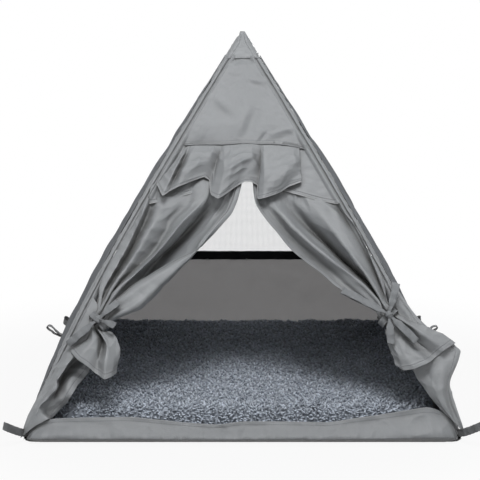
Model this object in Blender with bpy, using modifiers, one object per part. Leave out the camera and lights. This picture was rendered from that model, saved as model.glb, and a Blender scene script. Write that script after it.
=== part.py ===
"""Pet teepee: a four-pole fabric tent with tied-back door curtains and a plush pad.

Metres, +Z up. The origin is the centre of the floor's underside, -Y is the door side and +X is on the
right of someone who looks in through the door. Run it with blender --background --python part.py.
"""

import math

import bmesh
import bpy
from mathutils import Matrix, Vector

# Overall tent, on the outside of the cloth: a square floor, a blunt tip and edges that bow outwards
BASE_WIDTH = 0.600
BASE_DEPTH = 0.600
TENT_HEIGHT = 0.550
TIP_WIDTH = 0.007
EDGE_BOW = 0.0205
BOW_SKEW = 0.7

# Cloth, and the gap that touching pieces keep
CLOTH = 0.0012
GAP = 0.0004
FLOOR_THICKNESS = 0.0015
FLOOR_CORNER_RADIUS = 0.014
WALL_OUTSET = 0.0050
LEFT_BILLOW = 0.0085
RIGHT_BILLOW = 0.0075
GABLE_BILLOW = 0.0016
BILLOW_SKEW = 0.45

# Poles: bowed rods in two lengths that meet in a ferrule, with a cap on each foot
POLE_RADIUS = 0.0045
POLE_TOP_DROP = 0.038
POLE_FIT = 0.0005
STRAIGHT_FOOT = 0.030
FERRULE_WALL = 0.0008
FERRULE_LENGTH = 0.060
FOOT_CAP_WALL = 0.0012
FOOT_CAP_LENGTH = 0.022
FOOT_CAP_FLOOR = 0.0020
FOOT_CAP_CHAMFER = 0.0015

# Top hub with one socket for each pole
HUB_DROP = 0.0250
HUB_RADIUS = 0.0080
SOCKET_WALL = 0.0014
SOCKET_DEPTH = 0.026
SOCKET_FLOOR = 0.0025
ARM_RADIUS = 0.0042

# Cloth sleeves over the poles, and the cap over the hub
SLEEVE_RADIUS = 0.0082
SLEEVE_WALL = 0.0008
SLEEVE_CLEARANCE = 0.0002
CAP_DEPTH = 0.040

# Front: gable, sill and the seam that the valance hangs from
SEAM_HEIGHT = 0.387
GABLE_SIDE_HEIGHT = 0.308
GABLE_ARCH = 0.040
SILL_HEIGHT = 0.046
SILL_SAG = 0.006
SILL_END_DROP = 0.020
SILL_END_SHARE = 0.10
SILL_THICKNESS = 0.0020
SILL_BULGE = 0.0040

# Valance pleat lines: across at the seam, across at the hem, hem height, how far the hem stands out
VALANCE_OUT = 0.0014
VALANCE_PLEATS = [
    (-0.086, -0.121, 0.335, 0.0050),
    (-0.080, -0.115, 0.321, 0.0130),
    (-0.051, -0.057, 0.344, 0.0060),
    (-0.041, -0.047, 0.336, 0.0085),
    (-0.031, -0.036, 0.316, 0.0150),
    (-0.002, 0.001, 0.340, 0.0065),
    (0.009, 0.013, 0.339, 0.0065),
    (0.017, 0.020, 0.326, 0.0100),
    (0.025, 0.028, 0.314, 0.0150),
    (0.061, 0.065, 0.333, 0.0070),
    (0.086, 0.086, 0.337, 0.0055),
]

# Door curtains: where each is tied (in from its pole's centre line, height), and its folds to the tie
LEFT_TIE = (0.0285, 0.153)
RIGHT_TIE = (0.0226, 0.159)
CURTAIN_FOLDS = 4.0
CURTAIN_SAG = 0.024
CURTAIN_BOW = 0.003
FOLD_DEPTH = 0.0065
FOLD_PHASE = -0.6
BUNDLE_OUT = 0.0055
BUNDLE_HALF_WIDTH = 0.0125
BUNDLE_HALF_DEPTH = 0.0070
BUNDLE_SLOPE = math.radians(43)
GATHER_SKEW = 1.25
POLE_SIDE_SHARE = 0.20
POLE_SIDE_RISE = 0.030
MEETING_GAP = 0.006
HEM_TURN = 0.86
HEM_TURN_ANGLE = math.radians(160)
HEM_TURN_RADIUS = 0.0025
HEM_TURN_START = 0.12
CURTAIN_COLUMNS = 32
CURTAIN_ROWS = 12
SKIRT_ROWS = 8

# The curtains below their ties: points of hems and edges (in from the pole's centre line, height, out)
SKIRT_FOLDS = 1.5
SKIRT_SWELL = 0.005
SKIRT_PLEAT = 0.0022
LEFT_SKIRT_HEM = [
    (0.007, 0.124, 0.005),
    (0.023, 0.106, 0.010),
    (0.050, 0.094, 0.014),
    (0.073, 0.085, 0.014),
    (0.080, 0.096, 0.008),
]
RIGHT_SKIRT_HEM = [
    (-0.052, 0.129, 0.010),
    (-0.022, 0.112, 0.014),
    (0.004, 0.100, 0.016),
    (0.024, 0.0955, 0.015),
    (0.038, 0.096, 0.010),
]
LEFT_FLAP_POLE_EDGE = [
    (0.001, 0.128, 0.000),
    (0.005, 0.090, 0.000),
    (0.006, 0.064, 0.000),
    (0.006, 0.042, 0.000),
    (0.006, 0.012, 0.000),
]
LEFT_FLAP_HEM = [
    (0.017, 0.118, 0.000),
    (0.031, 0.086, -0.003),
    (0.040, 0.061, -0.002),
    (0.025, 0.040, 0.0020),
    (0.009, 0.012, 0.0016),
]
RIGHT_FLAP_POLE_EDGE = [
    (0.009, 0.146, 0.002),
    (0.018, 0.115, 0.001),
    (0.024, 0.089, 0.001),
    (0.017, 0.067, 0.0015),
    (0.011, 0.047, 0.0015),
    (0.005, 0.014, 0.0015),
]
RIGHT_FLAP_HEM = [
    (-0.029, 0.143, 0.004),
    (-0.053, 0.119, 0.006),
    (-0.031, 0.090, 0.007),
    (-0.006, 0.064, 0.004),
    (0.003, 0.048, 0.003),
    (-0.002, 0.014, 0.002),
]

# Back: mesh window and the tape round it
WINDOW_LOW = 0.160
WINDOW_TOP = 0.400
WINDOW_MARGIN = 0.026
TAPE_WIDTH = 0.0140
TAPE_THICKNESS = 0.0020
NET_STRAND = 0.0012
NET_THICKNESS = 0.0008
NET_COLUMNS = 10
NET_ROWS = 9

# Pad: filling in a cover with a plush top
PAD_MARGIN = 0.026
PAD_HEIGHT = 0.0405
PAD_CROWN = 0.006
PAD_ROLL = 0.016
PAD_FLAT_SHARE = 0.6
PAD_SIDE_PULL = 0.005
PAD_CORNER_POWER = 12
PLUSH_THICKNESS = 0.0050
PLUSH_HEM_RISE = 0.0022
PAD_COVER = 0.0012
FILLING_EASE = 0.0022

# Ribbons, and the knots that they end in
RIBBON_WIDTH = 0.0100
RIBBON_THICKNESS = 0.0009
BAND_EASE = 0.0027
KNOT_RADIUS = 0.0058
KNOT_DEPTH = 0.0040
TAIL_ARCH = 0.0025
BOW_BULGE = 0.0030
KNOT_PINCH = 0.42
PINCH_LENGTH = 0.014

# Where each ribbon end and bow loop reaches (in from the pole's centre line, height, out), and whether it
# is a loop
LEFT_ENDS = {
    "bow_loop_upper": (0.044, 0.175, 0.019, True),
    "bow_loop_lower": (0.003, 0.122, 0.016, True),
    "tie_end": (0.0565, 0.145, 0.018, False),
}
RIGHT_ENDS = {
    "bow_loop_inner": (0.070, 0.191, 0.016, True),
    "bow_loop_lower": (0.004, 0.124, 0.026, True),
    "tie_end_upper": (-0.012, 0.200, 0.018, False),
    "tie_end_lower": (0.0395, 0.1215, 0.020, False),
}

# Webbing loops for pegs
LOOP_WIDTH = 0.0110
LOOP_THICKNESS = 0.0012
LOOP_BULGE = 0.0054
LOOP_LENGTH = 0.036
LOOP_TILT = math.radians(16)
LOOP_HEIGHT = 0.0125
LOOP_ROOT_STRETCH = 1.08
SIDE_LOOP_LENGTH = 0.030
SIDE_LOOP_TILT = math.radians(34)
SIDE_LOOP_HEIGHT = 0.072

ROUND_STEPS = 12
SLEEVE_STEPS = 12
SLEEVE_SPANS = 7
POLE_POINTS = 7
UP = Vector((0, 0, 1))
CORNERS = {"front_left": (-1, -1), "front_right": (1, -1), "back_left": (-1, 1), "back_right": (1, 1)}
PART_COLLECTION = "pet_teepee"
CUTTER_COLLECTION = "cutters"


def edge(z, half_base):
    """Half the tent's width at height z: a straight slope to the blunt tip, bowed outwards."""
    share = min(1.0, max(0.0, z / TENT_HEIGHT))
    slope = half_base + (TIP_WIDTH / 2 - half_base) * share
    return slope + EDGE_BOW * math.sin(math.pi * share**BOW_SKEW)


class Face:
    """One sloping face of the tent. `along` runs across it and `outward` leaves it level."""

    def __init__(self, along, outward, half_length, distance):
        self.along = Vector(along)
        self.outward = Vector(outward)
        self.half_length = half_length
        self.distance = distance

    def upslope(self, z):
        step = 0.002
        z = max(STRAIGHT_FOOT, min(z, TENT_HEIGHT - step))
        run = edge(z + step, self.distance) - edge(z - step, self.distance)
        return (UP * 2 * step + self.outward * run).normalized()

    def normal(self, z):
        return self.along.cross(self.upslope(z)).normalized()

    def lean(self, z):
        return self.upslope(z).z

    def point(self, across, z, out=0.0):
        on_face = self.along * across + self.outward * edge(z, self.distance) + UP * z
        return on_face + self.normal(z) * out

    def panel_limit(self, z):
        """Half the width of a panel at height z, where it meets the pole sleeves on both sides."""
        axis = abs(pole_axis(1, -1, z).dot(self.along))
        edge_angle = math.atan2(self.half_length, math.hypot(TENT_HEIGHT, self.distance))
        chord = math.sqrt((SLEEVE_RADIUS + 2 * GAP) ** 2 - (WALL_OUTSET - CLOTH) ** 2)
        return axis - chord / math.cos(edge_angle)


POLE_INSET = SLEEVE_RADIUS + SLEEVE_CLEARANCE
PANEL_OUT = WALL_OUTSET - POLE_INSET
FRONT = Face((1, 0, 0), (0, -1, 0), BASE_WIDTH / 2, BASE_DEPTH / 2)
BACK = Face((-1, 0, 0), (0, 1, 0), BASE_WIDTH / 2, BASE_DEPTH / 2)
LEFT = Face((0, -1, 0), (-1, 0, 0), BASE_DEPTH / 2, BASE_WIDTH / 2)
RIGHT = Face((0, 1, 0), (1, 0, 0), BASE_DEPTH / 2, BASE_WIDTH / 2)
CAP_RIM = TENT_HEIGHT - CAP_DEPTH
FLOOR_TOP = FLOOR_THICKNESS + GAP


def pole_axis(side_x, side_y, z):
    """The point of a pole's centre line at height z. The foot of the line is straight."""
    at = max(z, STRAIGHT_FOOT)
    x = edge(at, BASE_WIDTH / 2) - POLE_INSET / LEFT.lean(at)
    y = edge(at, BASE_DEPTH / 2) - POLE_INSET / FRONT.lean(at)
    below = at - z
    x += below * LEFT.upslope(at).dot(RIGHT.outward) / LEFT.lean(at)
    y += below * FRONT.upslope(at).dot(BACK.outward) / FRONT.lean(at)
    return Vector((side_x * x, side_y * y, z))


def pole_direction(side_x, side_y, z):
    step = 0.002
    return (pole_axis(side_x, side_y, z - step) - pole_axis(side_x, side_y, z + step)).normalized()


def clear_scene():
    for thing in list(bpy.data.objects):
        bpy.data.objects.remove(thing, do_unlink=True)


def collection(name):
    made = bpy.data.collections.new(name)
    bpy.context.scene.collection.children.link(made)
    return made


def material(name, colour, roughness, metallic=0.0):
    made = bpy.data.materials.new(name)
    made.use_nodes = True
    shader = made.node_tree.nodes["Principled BSDF"]
    shader.inputs["Base Color"].default_value = (*colour, 1.0)
    shader.inputs["Roughness"].default_value = roughness
    shader.inputs["Metallic"].default_value = metallic
    return made


def add_object(name, mesh, look, target):
    made = bpy.data.objects.new(name, mesh)
    if look is not None:
        mesh.materials.append(look)
    target.objects.link(made)
    return made


def frame_from(origin, z_axis, x_hint=(0, 0.1, 1)):
    """A matrix whose Z runs along z_axis and whose X leans towards x_hint."""
    z = Vector(z_axis).normalized()
    x = Vector(x_hint) - z * z.dot(Vector(x_hint))
    x.normalize()
    y = z.cross(x)
    turn = Matrix((x, y, z)).transposed().to_4x4()
    return Matrix.Translation(origin) @ turn


def turned(name, profile, look, target, closed=False):
    """Turns (radius, height) points round Z. The profile runs down its outer side."""
    mesh = bpy.data.meshes.new(name)
    edges = [(i, i + 1) for i in range(len(profile) - 1)]
    if closed:
        edges.append((len(profile) - 1, 0))
    mesh.from_pydata([(r, 0, z) for r, z in profile], edges, [])
    made = add_object(name, mesh, look, target)
    screw = made.modifiers.new("turn", "SCREW")
    screw.axis = "Z"
    screw.angle = math.tau
    screw.steps = ROUND_STEPS
    screw.render_steps = ROUND_STEPS
    screw.use_merge_vertices = True
    screw.merge_threshold = 0.00001
    screw.use_smooth_shade = True
    return made


def thicken(made, thickness, offset):
    solid = made.modifiers.new("thickness", "SOLIDIFY")
    solid.thickness = thickness
    solid.offset = offset
    solid.use_even_offset = True
    solid.thickness_clamp = 1.0


def cloth(
    name, columns, rows, place, thickness, look, target, offset=0.0, hole=None, seam=False, pivot=(0, 0, 0)
):
    """A thick sheet from a grid whose corners u, v from 0 to 1 are put where place(u, v) says.

    `hole` leaves out the columns and rows between (first column, last column, first row, last row),
    `seam` joins the grid's first column to its last one, and `pivot` is where the object's origin lies.
    """
    mesh = bpy.data.meshes.new(name)
    grid = bmesh.new()
    bmesh.ops.create_grid(grid, x_segments=columns, y_segments=rows, size=0.5)
    if hole is not None:
        first_column, last_column, first_row, last_row = hole
        inside = []
        for cell in grid.faces:
            middle = cell.calc_center_median()
            column = (middle.x + 0.5) * columns
            row = (middle.y + 0.5) * rows
            if first_column < column < last_column and first_row < row < last_row:
                inside.append(cell)
        bmesh.ops.delete(grid, geom=inside, context="FACES")
    for corner in grid.verts:
        corner.co = place(corner.co.x + 0.5, corner.co.y + 0.5) - Vector(pivot)
    if seam:
        bmesh.ops.remove_doubles(grid, verts=grid.verts, dist=0.00001)
    grid.to_mesh(mesh)
    grid.free()
    mesh.shade_smooth()
    made = add_object(name, mesh, look, target)
    made.location = pivot
    thicken(made, thickness, offset)
    return made


def between(points, share):
    """A point on a smooth curve through the points, at a share of the way from 0 to 1."""
    spans = len(points) - 1
    at = min(max(share, 0.0) * spans, spans - 1e-9)
    i = int(at)
    t = at - i
    p1 = points[i]
    p2 = points[i + 1]
    p0 = points[i - 1] if i else p1 * 2 - p2
    p3 = points[i + 2] if i + 2 <= spans else p2 * 2 - p1
    bend = (2 * p0 - 5 * p1 + 4 * p2 - p3) * t * t + (3 * p1 - p0 - 3 * p2 + p3) * t**3
    return 0.5 * (2 * p1 + (p2 - p0) * t + bend)


def ease(value):
    """A smooth step from 0 to 1."""
    share = min(1.0, max(0.0, value))
    return share * share * (3 - 2 * share)


def pinched(distance, pinch):
    """The share of its full width that a ribbon has at a distance from its root, where it is gathered."""
    return pinch + (1 - pinch) * ease(distance / PINCH_LENGTH)


def strap(name, points, side_direction, pinch, looks, target):
    """A flat ribbon along a smooth path that starts at its pivot. Its width lies along side_direction."""
    side = Vector(side_direction).normalized()
    path = [Vector(point) for point in points]
    length = (path[-1] - path[0]).length

    def place(u, v):
        half = RIBBON_WIDTH / 2 * pinched(v * length, pinch)
        return between(path, v) + side * (2 * u - 1) * half

    return cloth(name, 1, 8, place, RIBBON_THICKNESS, looks["ribbon"], target, pivot=path[0])


def loop(name, root, direction, side_direction, size, pinch, look, target):
    """A ribbon folded back on itself: out from its root, round the tip and back.

    `size` is its length, the ribbon's width and thickness, and how far each side bulges.
    """
    length, width, thickness, bulge = size
    ahead = Vector(direction).normalized()
    side = Vector(side_direction)
    side = (side - ahead * side.dot(ahead)).normalized()
    across = ahead.cross(side)
    start = thickness / 2 + GAP
    half = [(0, start), (0.28, bulge * 0.55), (0.62, bulge), (0.88, bulge * 0.85)]
    outline = half + [(1, 0)] + [(reach, -off) for reach, off in reversed(half)]
    path = [root + ahead * length * reach + across * off for reach, off in outline]

    def place(u, v):
        half_width = width / 2 * pinched(2 * min(v, 1 - v) * length, pinch)
        return between(path, v) + side * (2 * u - 1) * half_width

    return cloth(name, 1, 16, place, thickness, look, target, pivot=root)


def rod(name, points, radius, look, target):
    curve = bpy.data.curves.new(name, "CURVE")
    curve.dimensions = "3D"
    curve.bevel_depth = radius
    curve.bevel_resolution = 2
    curve.use_fill_caps = True
    spline = curve.splines.new("POLY")
    spline.points.add(len(points) - 1)
    for point, place in zip(spline.points, points):
        point.co = (*place, 1)
    curve.materials.append(look)
    made = bpy.data.objects.new(name, curve)
    target.objects.link(made)
    return made


def build_poles(looks, target):
    """Each pole is a lower and an upper rod in one ferrule, with a cap on its foot."""
    cap_radius = POLE_RADIUS + POLE_FIT + FOOT_CAP_WALL
    for corner, (sx, sy) in CORNERS.items():
        down = pole_direction(sx, sy, 0)
        sweep = math.sqrt(1 - down.z**2)
        cap_z = FLOOR_TOP + cap_radius * sweep
        foot_z = cap_z - (FOOT_CAP_FLOOR + GAP) * down.z
        top_z = TENT_HEIGHT - POLE_TOP_DROP
        middle_z = (foot_z + top_z) / 2
        heights = {"lower": (foot_z, middle_z - GAP), "upper": (middle_z + GAP, top_z)}
        for half, (low, high) in heights.items():
            steps = [low + (high - low) * i / (POLE_POINTS - 1) for i in range(POLE_POINTS)]
            points = [pole_axis(sx, sy, z) for z in steps]
            rod(f"pole_{half}_{corner}", points, POLE_RADIUS, looks["pole"], target)
        middle = pole_axis(sx, sy, middle_z)
        along = pole_direction(sx, sy, middle_z)
        ferrule_radius = POLE_RADIUS + POLE_FIT
        ring = [
            (ferrule_radius, -FERRULE_LENGTH / 2),
            (ferrule_radius, FERRULE_LENGTH / 2),
            (ferrule_radius + FERRULE_WALL, FERRULE_LENGTH / 2),
            (ferrule_radius + FERRULE_WALL, -FERRULE_LENGTH / 2),
        ]
        ferrule = turned(f"pole_ferrule_{corner}", ring, looks["steel"], target, closed=True)
        ferrule.matrix_world = frame_from(middle, -along)
        cup = [
            (0, FOOT_CAP_FLOOR),
            (POLE_RADIUS + POLE_FIT, FOOT_CAP_FLOOR),
            (POLE_RADIUS + POLE_FIT, FOOT_CAP_LENGTH),
            (cap_radius, FOOT_CAP_LENGTH),
            (cap_radius, FOOT_CAP_CHAMFER),
            (cap_radius - FOOT_CAP_CHAMFER, 0),
            (0, 0),
        ]
        cap = turned(f"foot_cap_{corner}", cup, looks["rubber"], target)
        cap.matrix_world = frame_from(pole_axis(sx, sy, cap_z), -down)


def hub_tool(hub, name, start, end, radius, operation, cutters):
    """Joins a round bar from start to end to the hub, or cuts it out."""
    length = (end - start).length
    bar = bmesh.new()
    bmesh.ops.create_cone(bar, cap_ends=True, segments=ROUND_STEPS, radius1=radius, radius2=radius, depth=length)
    bmesh.ops.translate(bar, verts=bar.verts, vec=(0, 0, length / 2))
    shape = bpy.data.meshes.new(name)
    bar.to_mesh(shape)
    bar.free()
    tool = add_object(name, shape, None, cutters)
    tool.matrix_world = frame_from(start, end - start)
    tool.hide_render = True
    tool.display_type = "WIRE"
    step = hub.modifiers.new(name, "BOOLEAN")
    step.operation = operation
    step.object = tool


def build_hub(looks, target, cutters):
    """A moulded core with four arms, each ending in a socket bored for its pole's top end."""
    centre = Vector((0, 0, TENT_HEIGHT - HUB_DROP))
    core = bmesh.new()
    bmesh.ops.create_uvsphere(core, u_segments=14, v_segments=9, radius=HUB_RADIUS)
    bmesh.ops.translate(core, verts=core.verts, vec=centre)
    mesh = bpy.data.meshes.new("top_hub")
    core.to_mesh(mesh)
    core.free()
    mesh.shade_smooth()
    hub = add_object("top_hub", mesh, looks["hub"], target)
    bore = POLE_RADIUS + POLE_FIT
    ends = {}
    for corner, (sx, sy) in CORNERS.items():
        root = pole_axis(sx, sy, TENT_HEIGHT - POLE_TOP_DROP)
        inward = -pole_direction(sx, sy, root.z)
        ends[corner] = (root - inward * SOCKET_DEPTH, root, inward)
    for corner, (mouth, root, inward) in ends.items():
        floor = root + inward * SOCKET_FLOOR
        hub_tool(hub, f"socket_{corner}", mouth, floor, bore + SOCKET_WALL, "UNION", cutters)
    for corner, (mouth, root, inward) in ends.items():
        stop = centre + (root - centre).normalized() * HUB_RADIUS * 0.25
        hub_tool(hub, f"arm_{corner}", root + inward * SOCKET_FLOOR * 0.4, stop, ARM_RADIUS, "UNION", cutters)
    for corner, (mouth, root, inward) in ends.items():
        past = mouth - inward * SOCKET_DEPTH
        hub_tool(hub, f"bore_{corner}", past, root + inward * GAP, bore, "DIFFERENCE", cutters)


def build_sleeves(looks, target):
    """A cloth tube round each pole, from the floor to the cap."""
    for corner, (sx, sy) in CORNERS.items():
        foot_sweep = math.sqrt(1 - pole_direction(sx, sy, 0).z ** 2)
        top_sweep = math.sqrt(1 - pole_direction(sx, sy, CAP_RIM).z ** 2)
        low = FLOOR_TOP + SLEEVE_RADIUS * foot_sweep
        high = CAP_RIM - SLEEVE_RADIUS * top_sweep - CLOTH

        def place(u, v):
            z = low + (high - low) * v
            ring = frame_from(pole_axis(sx, sy, z), -pole_direction(sx, sy, z))
            angle = math.tau * u
            return ring @ Vector((SLEEVE_RADIUS * math.cos(angle), SLEEVE_RADIUS * math.sin(angle), 0))

        name = f"pole_sleeve_{corner}"
        cloth(name, SLEEVE_STEPS, SLEEVE_SPANS, place, SLEEVE_WALL, looks["cloth"], target, -1, seam=True)


def build_cap(looks, target):
    """The closed cloth point over the hub: a blunt four-sided shell, open below."""
    mesh = bpy.data.meshes.new("apex_cap")
    box = bmesh.new()
    bmesh.ops.create_cube(box, size=2)
    uprights = [line for line in box.edges if abs(line.verts[0].co.z - line.verts[1].co.z) > 1]
    bmesh.ops.subdivide_edges(box, edges=uprights, cuts=2, use_grid_fill=True)
    bottom = [face for face in box.faces if face.calc_center_median().z < -0.9]
    bmesh.ops.delete(box, geom=bottom, context="FACES")
    for corner in box.verts:
        z = TENT_HEIGHT - CAP_DEPTH * (1 - corner.co.z) / 2
        x = math.copysign(edge(z, BASE_WIDTH / 2), corner.co.x)
        y = math.copysign(edge(z, BASE_DEPTH / 2), corner.co.y)
        corner.co = (x, y, z)
    box.to_mesh(mesh)
    box.free()
    cap = add_object("apex_cap", mesh, looks["cloth"], target)
    thicken(cap, CLOTH, -1)


def build_floor(looks, target):
    floor = bpy.data.curves.new("floor_sheet", "CURVE")
    floor.dimensions = "2D"
    floor.fill_mode = "BOTH"
    floor.extrude = FLOOR_THICKNESS / 2
    steps = 4
    rim = []
    for quarter, (sx, sy) in enumerate(((1, 1), (-1, 1), (-1, -1), (1, -1))):
        cx = sx * (BASE_WIDTH / 2 - FLOOR_CORNER_RADIUS)
        cy = sy * (BASE_DEPTH / 2 - FLOOR_CORNER_RADIUS)
        for i in range(steps + 1):
            angle = math.pi / 2 * (quarter + i / steps)
            rim.append((cx + FLOOR_CORNER_RADIUS * math.cos(angle), cy + FLOOR_CORNER_RADIUS * math.sin(angle)))
    spline = floor.splines.new("POLY")
    spline.points.add(len(rim) - 1)
    spline.use_cyclic_u = True
    for point, (x, y) in zip(spline.points, rim):
        point.co = (x, y, 0, 1)
    sheet = bpy.data.objects.new("floor_sheet", floor)
    floor.materials.append(looks["cloth"])
    sheet.location = (0, 0, FLOOR_THICKNESS / 2)
    target.objects.link(sheet)


WALL_LOW = FLOOR_TOP + CLOTH
WALL_HIGH = CAP_RIM - 2 * CLOTH
WALL_ROW_SKEW = 1.3


def wall_point(face, across_share, z, billow, out=0.0):
    """A point of a side wall's middle surface, which billows outwards most in its lower half."""
    up = ((z - WALL_LOW) / (WALL_HIGH - WALL_LOW)) ** (1 / WALL_ROW_SKEW)
    swell = 0.0
    if 0 < up < 1 and abs(across_share) < 1:
        swell = math.cos(math.pi / 2 * across_share) ** 0.8 * math.sin(math.pi * up**BILLOW_SKEW)
    return face.point(face.panel_limit(z) * across_share, z, PANEL_OUT + billow * swell + out)


def panel(name, face, billow, look, target):
    def place(u, v):
        z = WALL_LOW + (WALL_HIGH - WALL_LOW) * v**WALL_ROW_SKEW
        return wall_point(face, 2 * u - 1, z, billow)

    return cloth(name, 8, 9, place, CLOTH, look, target)


def gable_edge(share):
    """Height of the gable's arched lower edge, for a share of the panel's half width."""
    return GABLE_SIDE_HEIGHT + GABLE_ARCH * (1 - abs(share)) ** 1.2


def build_walls(looks, target):
    """Side walls, front gable and sill, and the back wall with its mesh window."""
    panel("left_wall", LEFT, LEFT_BILLOW, looks["cloth"], target)
    panel("right_wall", RIGHT, RIGHT_BILLOW, looks["cloth"], target)

    def gable_place(u, v):
        foot = gable_edge(2 * u - 1)
        z = foot + (WALL_HIGH - foot) * v
        swell = math.sin(math.pi * u) * math.sin(math.pi * v)
        return FRONT.point(FRONT.panel_limit(z) * (2 * u - 1), z, PANEL_OUT + GABLE_BILLOW * swell)

    cloth("front_gable", 10, 6, gable_place, CLOTH, looks["cloth"], target)

    def sill_place(u, v):
        sag = SILL_SAG * math.sin(math.pi * u) ** 0.5 if 0 < u < 1 else 0.0
        end = SILL_END_DROP * max(0.0, 1 - min(u, 1 - u) / SILL_END_SHARE) ** 1.5
        z = WALL_LOW + (SILL_HEIGHT - sag - end - WALL_LOW) * v
        bulge = SILL_BULGE * math.sin(math.pi * v) * min(1.0, 6 * u, 6 * (1 - u))
        return FRONT.point(FRONT.panel_limit(z) * (2 * u - 1), z, PANEL_OUT + bulge)

    cloth("front_sill", 20, 4, sill_place, SILL_THICKNESS, looks["cloth"], target)
    build_window(looks, target)


def window_point(across_share, up_share, inset):
    """A point of the window's area, for shares from -1 to 1 across and 0 to 1 up, edged in by inset."""
    bottom = WINDOW_LOW + inset * BACK.lean(WINDOW_LOW)
    top = WINDOW_TOP - inset * BACK.lean(WINDOW_TOP)
    z = bottom + (top - bottom) * up_share
    half = BACK.panel_limit(z) - WINDOW_MARGIN - inset
    return half * across_share, z


def build_window(looks, target):
    """The back wall, its window opening, the tape round the opening and the net in it."""
    wall_heights = [WALL_LOW, WINDOW_LOW * 0.5]
    window_rows = 5
    wall_heights += [window_point(0, i / window_rows, 0)[1] for i in range(window_rows + 1)]
    wall_heights += [(WINDOW_TOP + WALL_HIGH) / 2, WALL_HIGH]
    side_columns = 2
    window_columns = 6
    columns = 2 * side_columns + window_columns

    def wall_place(u, v):
        z = wall_heights[round(v * (len(wall_heights) - 1))]
        limit = BACK.panel_limit(z)
        opening = limit - WINDOW_MARGIN
        if z > WINDOW_TOP:
            opening = limit * (1 - WINDOW_MARGIN / BACK.panel_limit(WINDOW_TOP))
        column = round(u * columns) - columns / 2
        inner = window_columns / 2
        if abs(column) <= inner:
            across = opening * column / inner
        else:
            across = math.copysign(opening + (limit - opening) * (abs(column) - inner) / side_columns, column)
        return BACK.point(across, z, PANEL_OUT)

    hole = (side_columns, side_columns + window_columns, 2, 2 + window_rows)
    rows = len(wall_heights) - 1
    cloth("back_wall", columns, rows, wall_place, CLOTH, looks["cloth"], target, hole=hole)

    def tape_place(u, v):
        column = round(u * (window_columns + 2))
        row = round(v * (window_rows + 2))
        edged = 0 < column < window_columns + 2 and 0 < row < window_rows + 2
        inset = TAPE_WIDTH if edged else GAP
        across = min(1, max(-1, 2 * (column - 1) / window_columns - 1))
        up = min(1, max(0, (row - 1) / window_rows))
        if not edged:
            across = 2 * column / (window_columns + 2) - 1
            up = row / (window_rows + 2)
            if 0 < column < window_columns + 2:
                across = 2 * (column - 1) / window_columns - 1
            if 0 < row < window_rows + 2:
                up = (row - 1) / window_rows
        return BACK.point(*window_point(across, up, inset), PANEL_OUT)

    hole = (1, 1 + window_columns, 1, 1 + window_rows)
    cloth(
        "window_tape",
        window_columns + 2,
        window_rows + 2,
        tape_place,
        TAPE_THICKNESS,
        looks["tape"],
        target,
        hole=hole,
    )

    mesh = bpy.data.meshes.new("window_net")
    grid = bmesh.new()
    bmesh.ops.create_grid(grid, x_segments=NET_COLUMNS, y_segments=NET_ROWS, size=1)
    for corner in grid.verts:
        place = window_point(corner.co.x, (corner.co.y + 1) / 2, TAPE_WIDTH + GAP)
        corner.co = BACK.point(*place, PANEL_OUT)
    cells = list(grid.faces)
    bmesh.ops.inset_individual(grid, faces=cells, thickness=NET_STRAND / 2, use_even_offset=True)
    bmesh.ops.delete(grid, geom=cells, context="FACES_ONLY")
    grid.to_mesh(mesh)
    grid.free()
    net = add_object("window_net", mesh, looks["net"], target)
    thicken(net, NET_THICKNESS, 0)


def pad_rim(a, b, inset):
    """A point of the pad's rim for a point a, b of a square's edge: rounded corners, drawn-in sides."""
    rounding = (abs(a) ** PAD_CORNER_POWER + abs(b) ** PAD_CORNER_POWER) ** (-1 / PAD_CORNER_POWER)
    half_x = BASE_WIDTH / 2 - PAD_MARGIN - inset
    half_y = BASE_DEPTH / 2 - PAD_MARGIN - inset
    pull_x = PAD_SIDE_PULL * (1 - b * b) * a**3
    pull_y = PAD_SIDE_PULL * (1 - a * a) * b**3
    return Vector((half_x * a * rounding - pull_x, half_y * b * rounding - pull_y, 0))


def pad_dome(u, v, low, high, inset):
    """A point of the pad's upper surface, for u and v from 0 at one rim to 1 at the other."""
    a = 2 * u - 1
    b = 2 * v - 1
    across = max(abs(a), abs(b))
    if across < 1e-6:
        return Vector((0, 0, high + PAD_CROWN))
    rim = pad_rim(a / across, b / across, inset)
    inner = 1 - PAD_ROLL / rim.length
    if across > PAD_FLAT_SHARE:
        turn = math.pi / 2 * (across - PAD_FLAT_SHARE) / (1 - PAD_FLAT_SHARE)
        reach = inner + (1 - inner) * math.sin(turn)
        z = low + (high - low) * math.cos(turn)
    else:
        reach = inner * across / PAD_FLAT_SHARE
        z = high + PAD_CROWN * (1 - (across / PAD_FLAT_SHARE) ** 2)
    return Vector((rim.x * reach, rim.y * reach, z))


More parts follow.
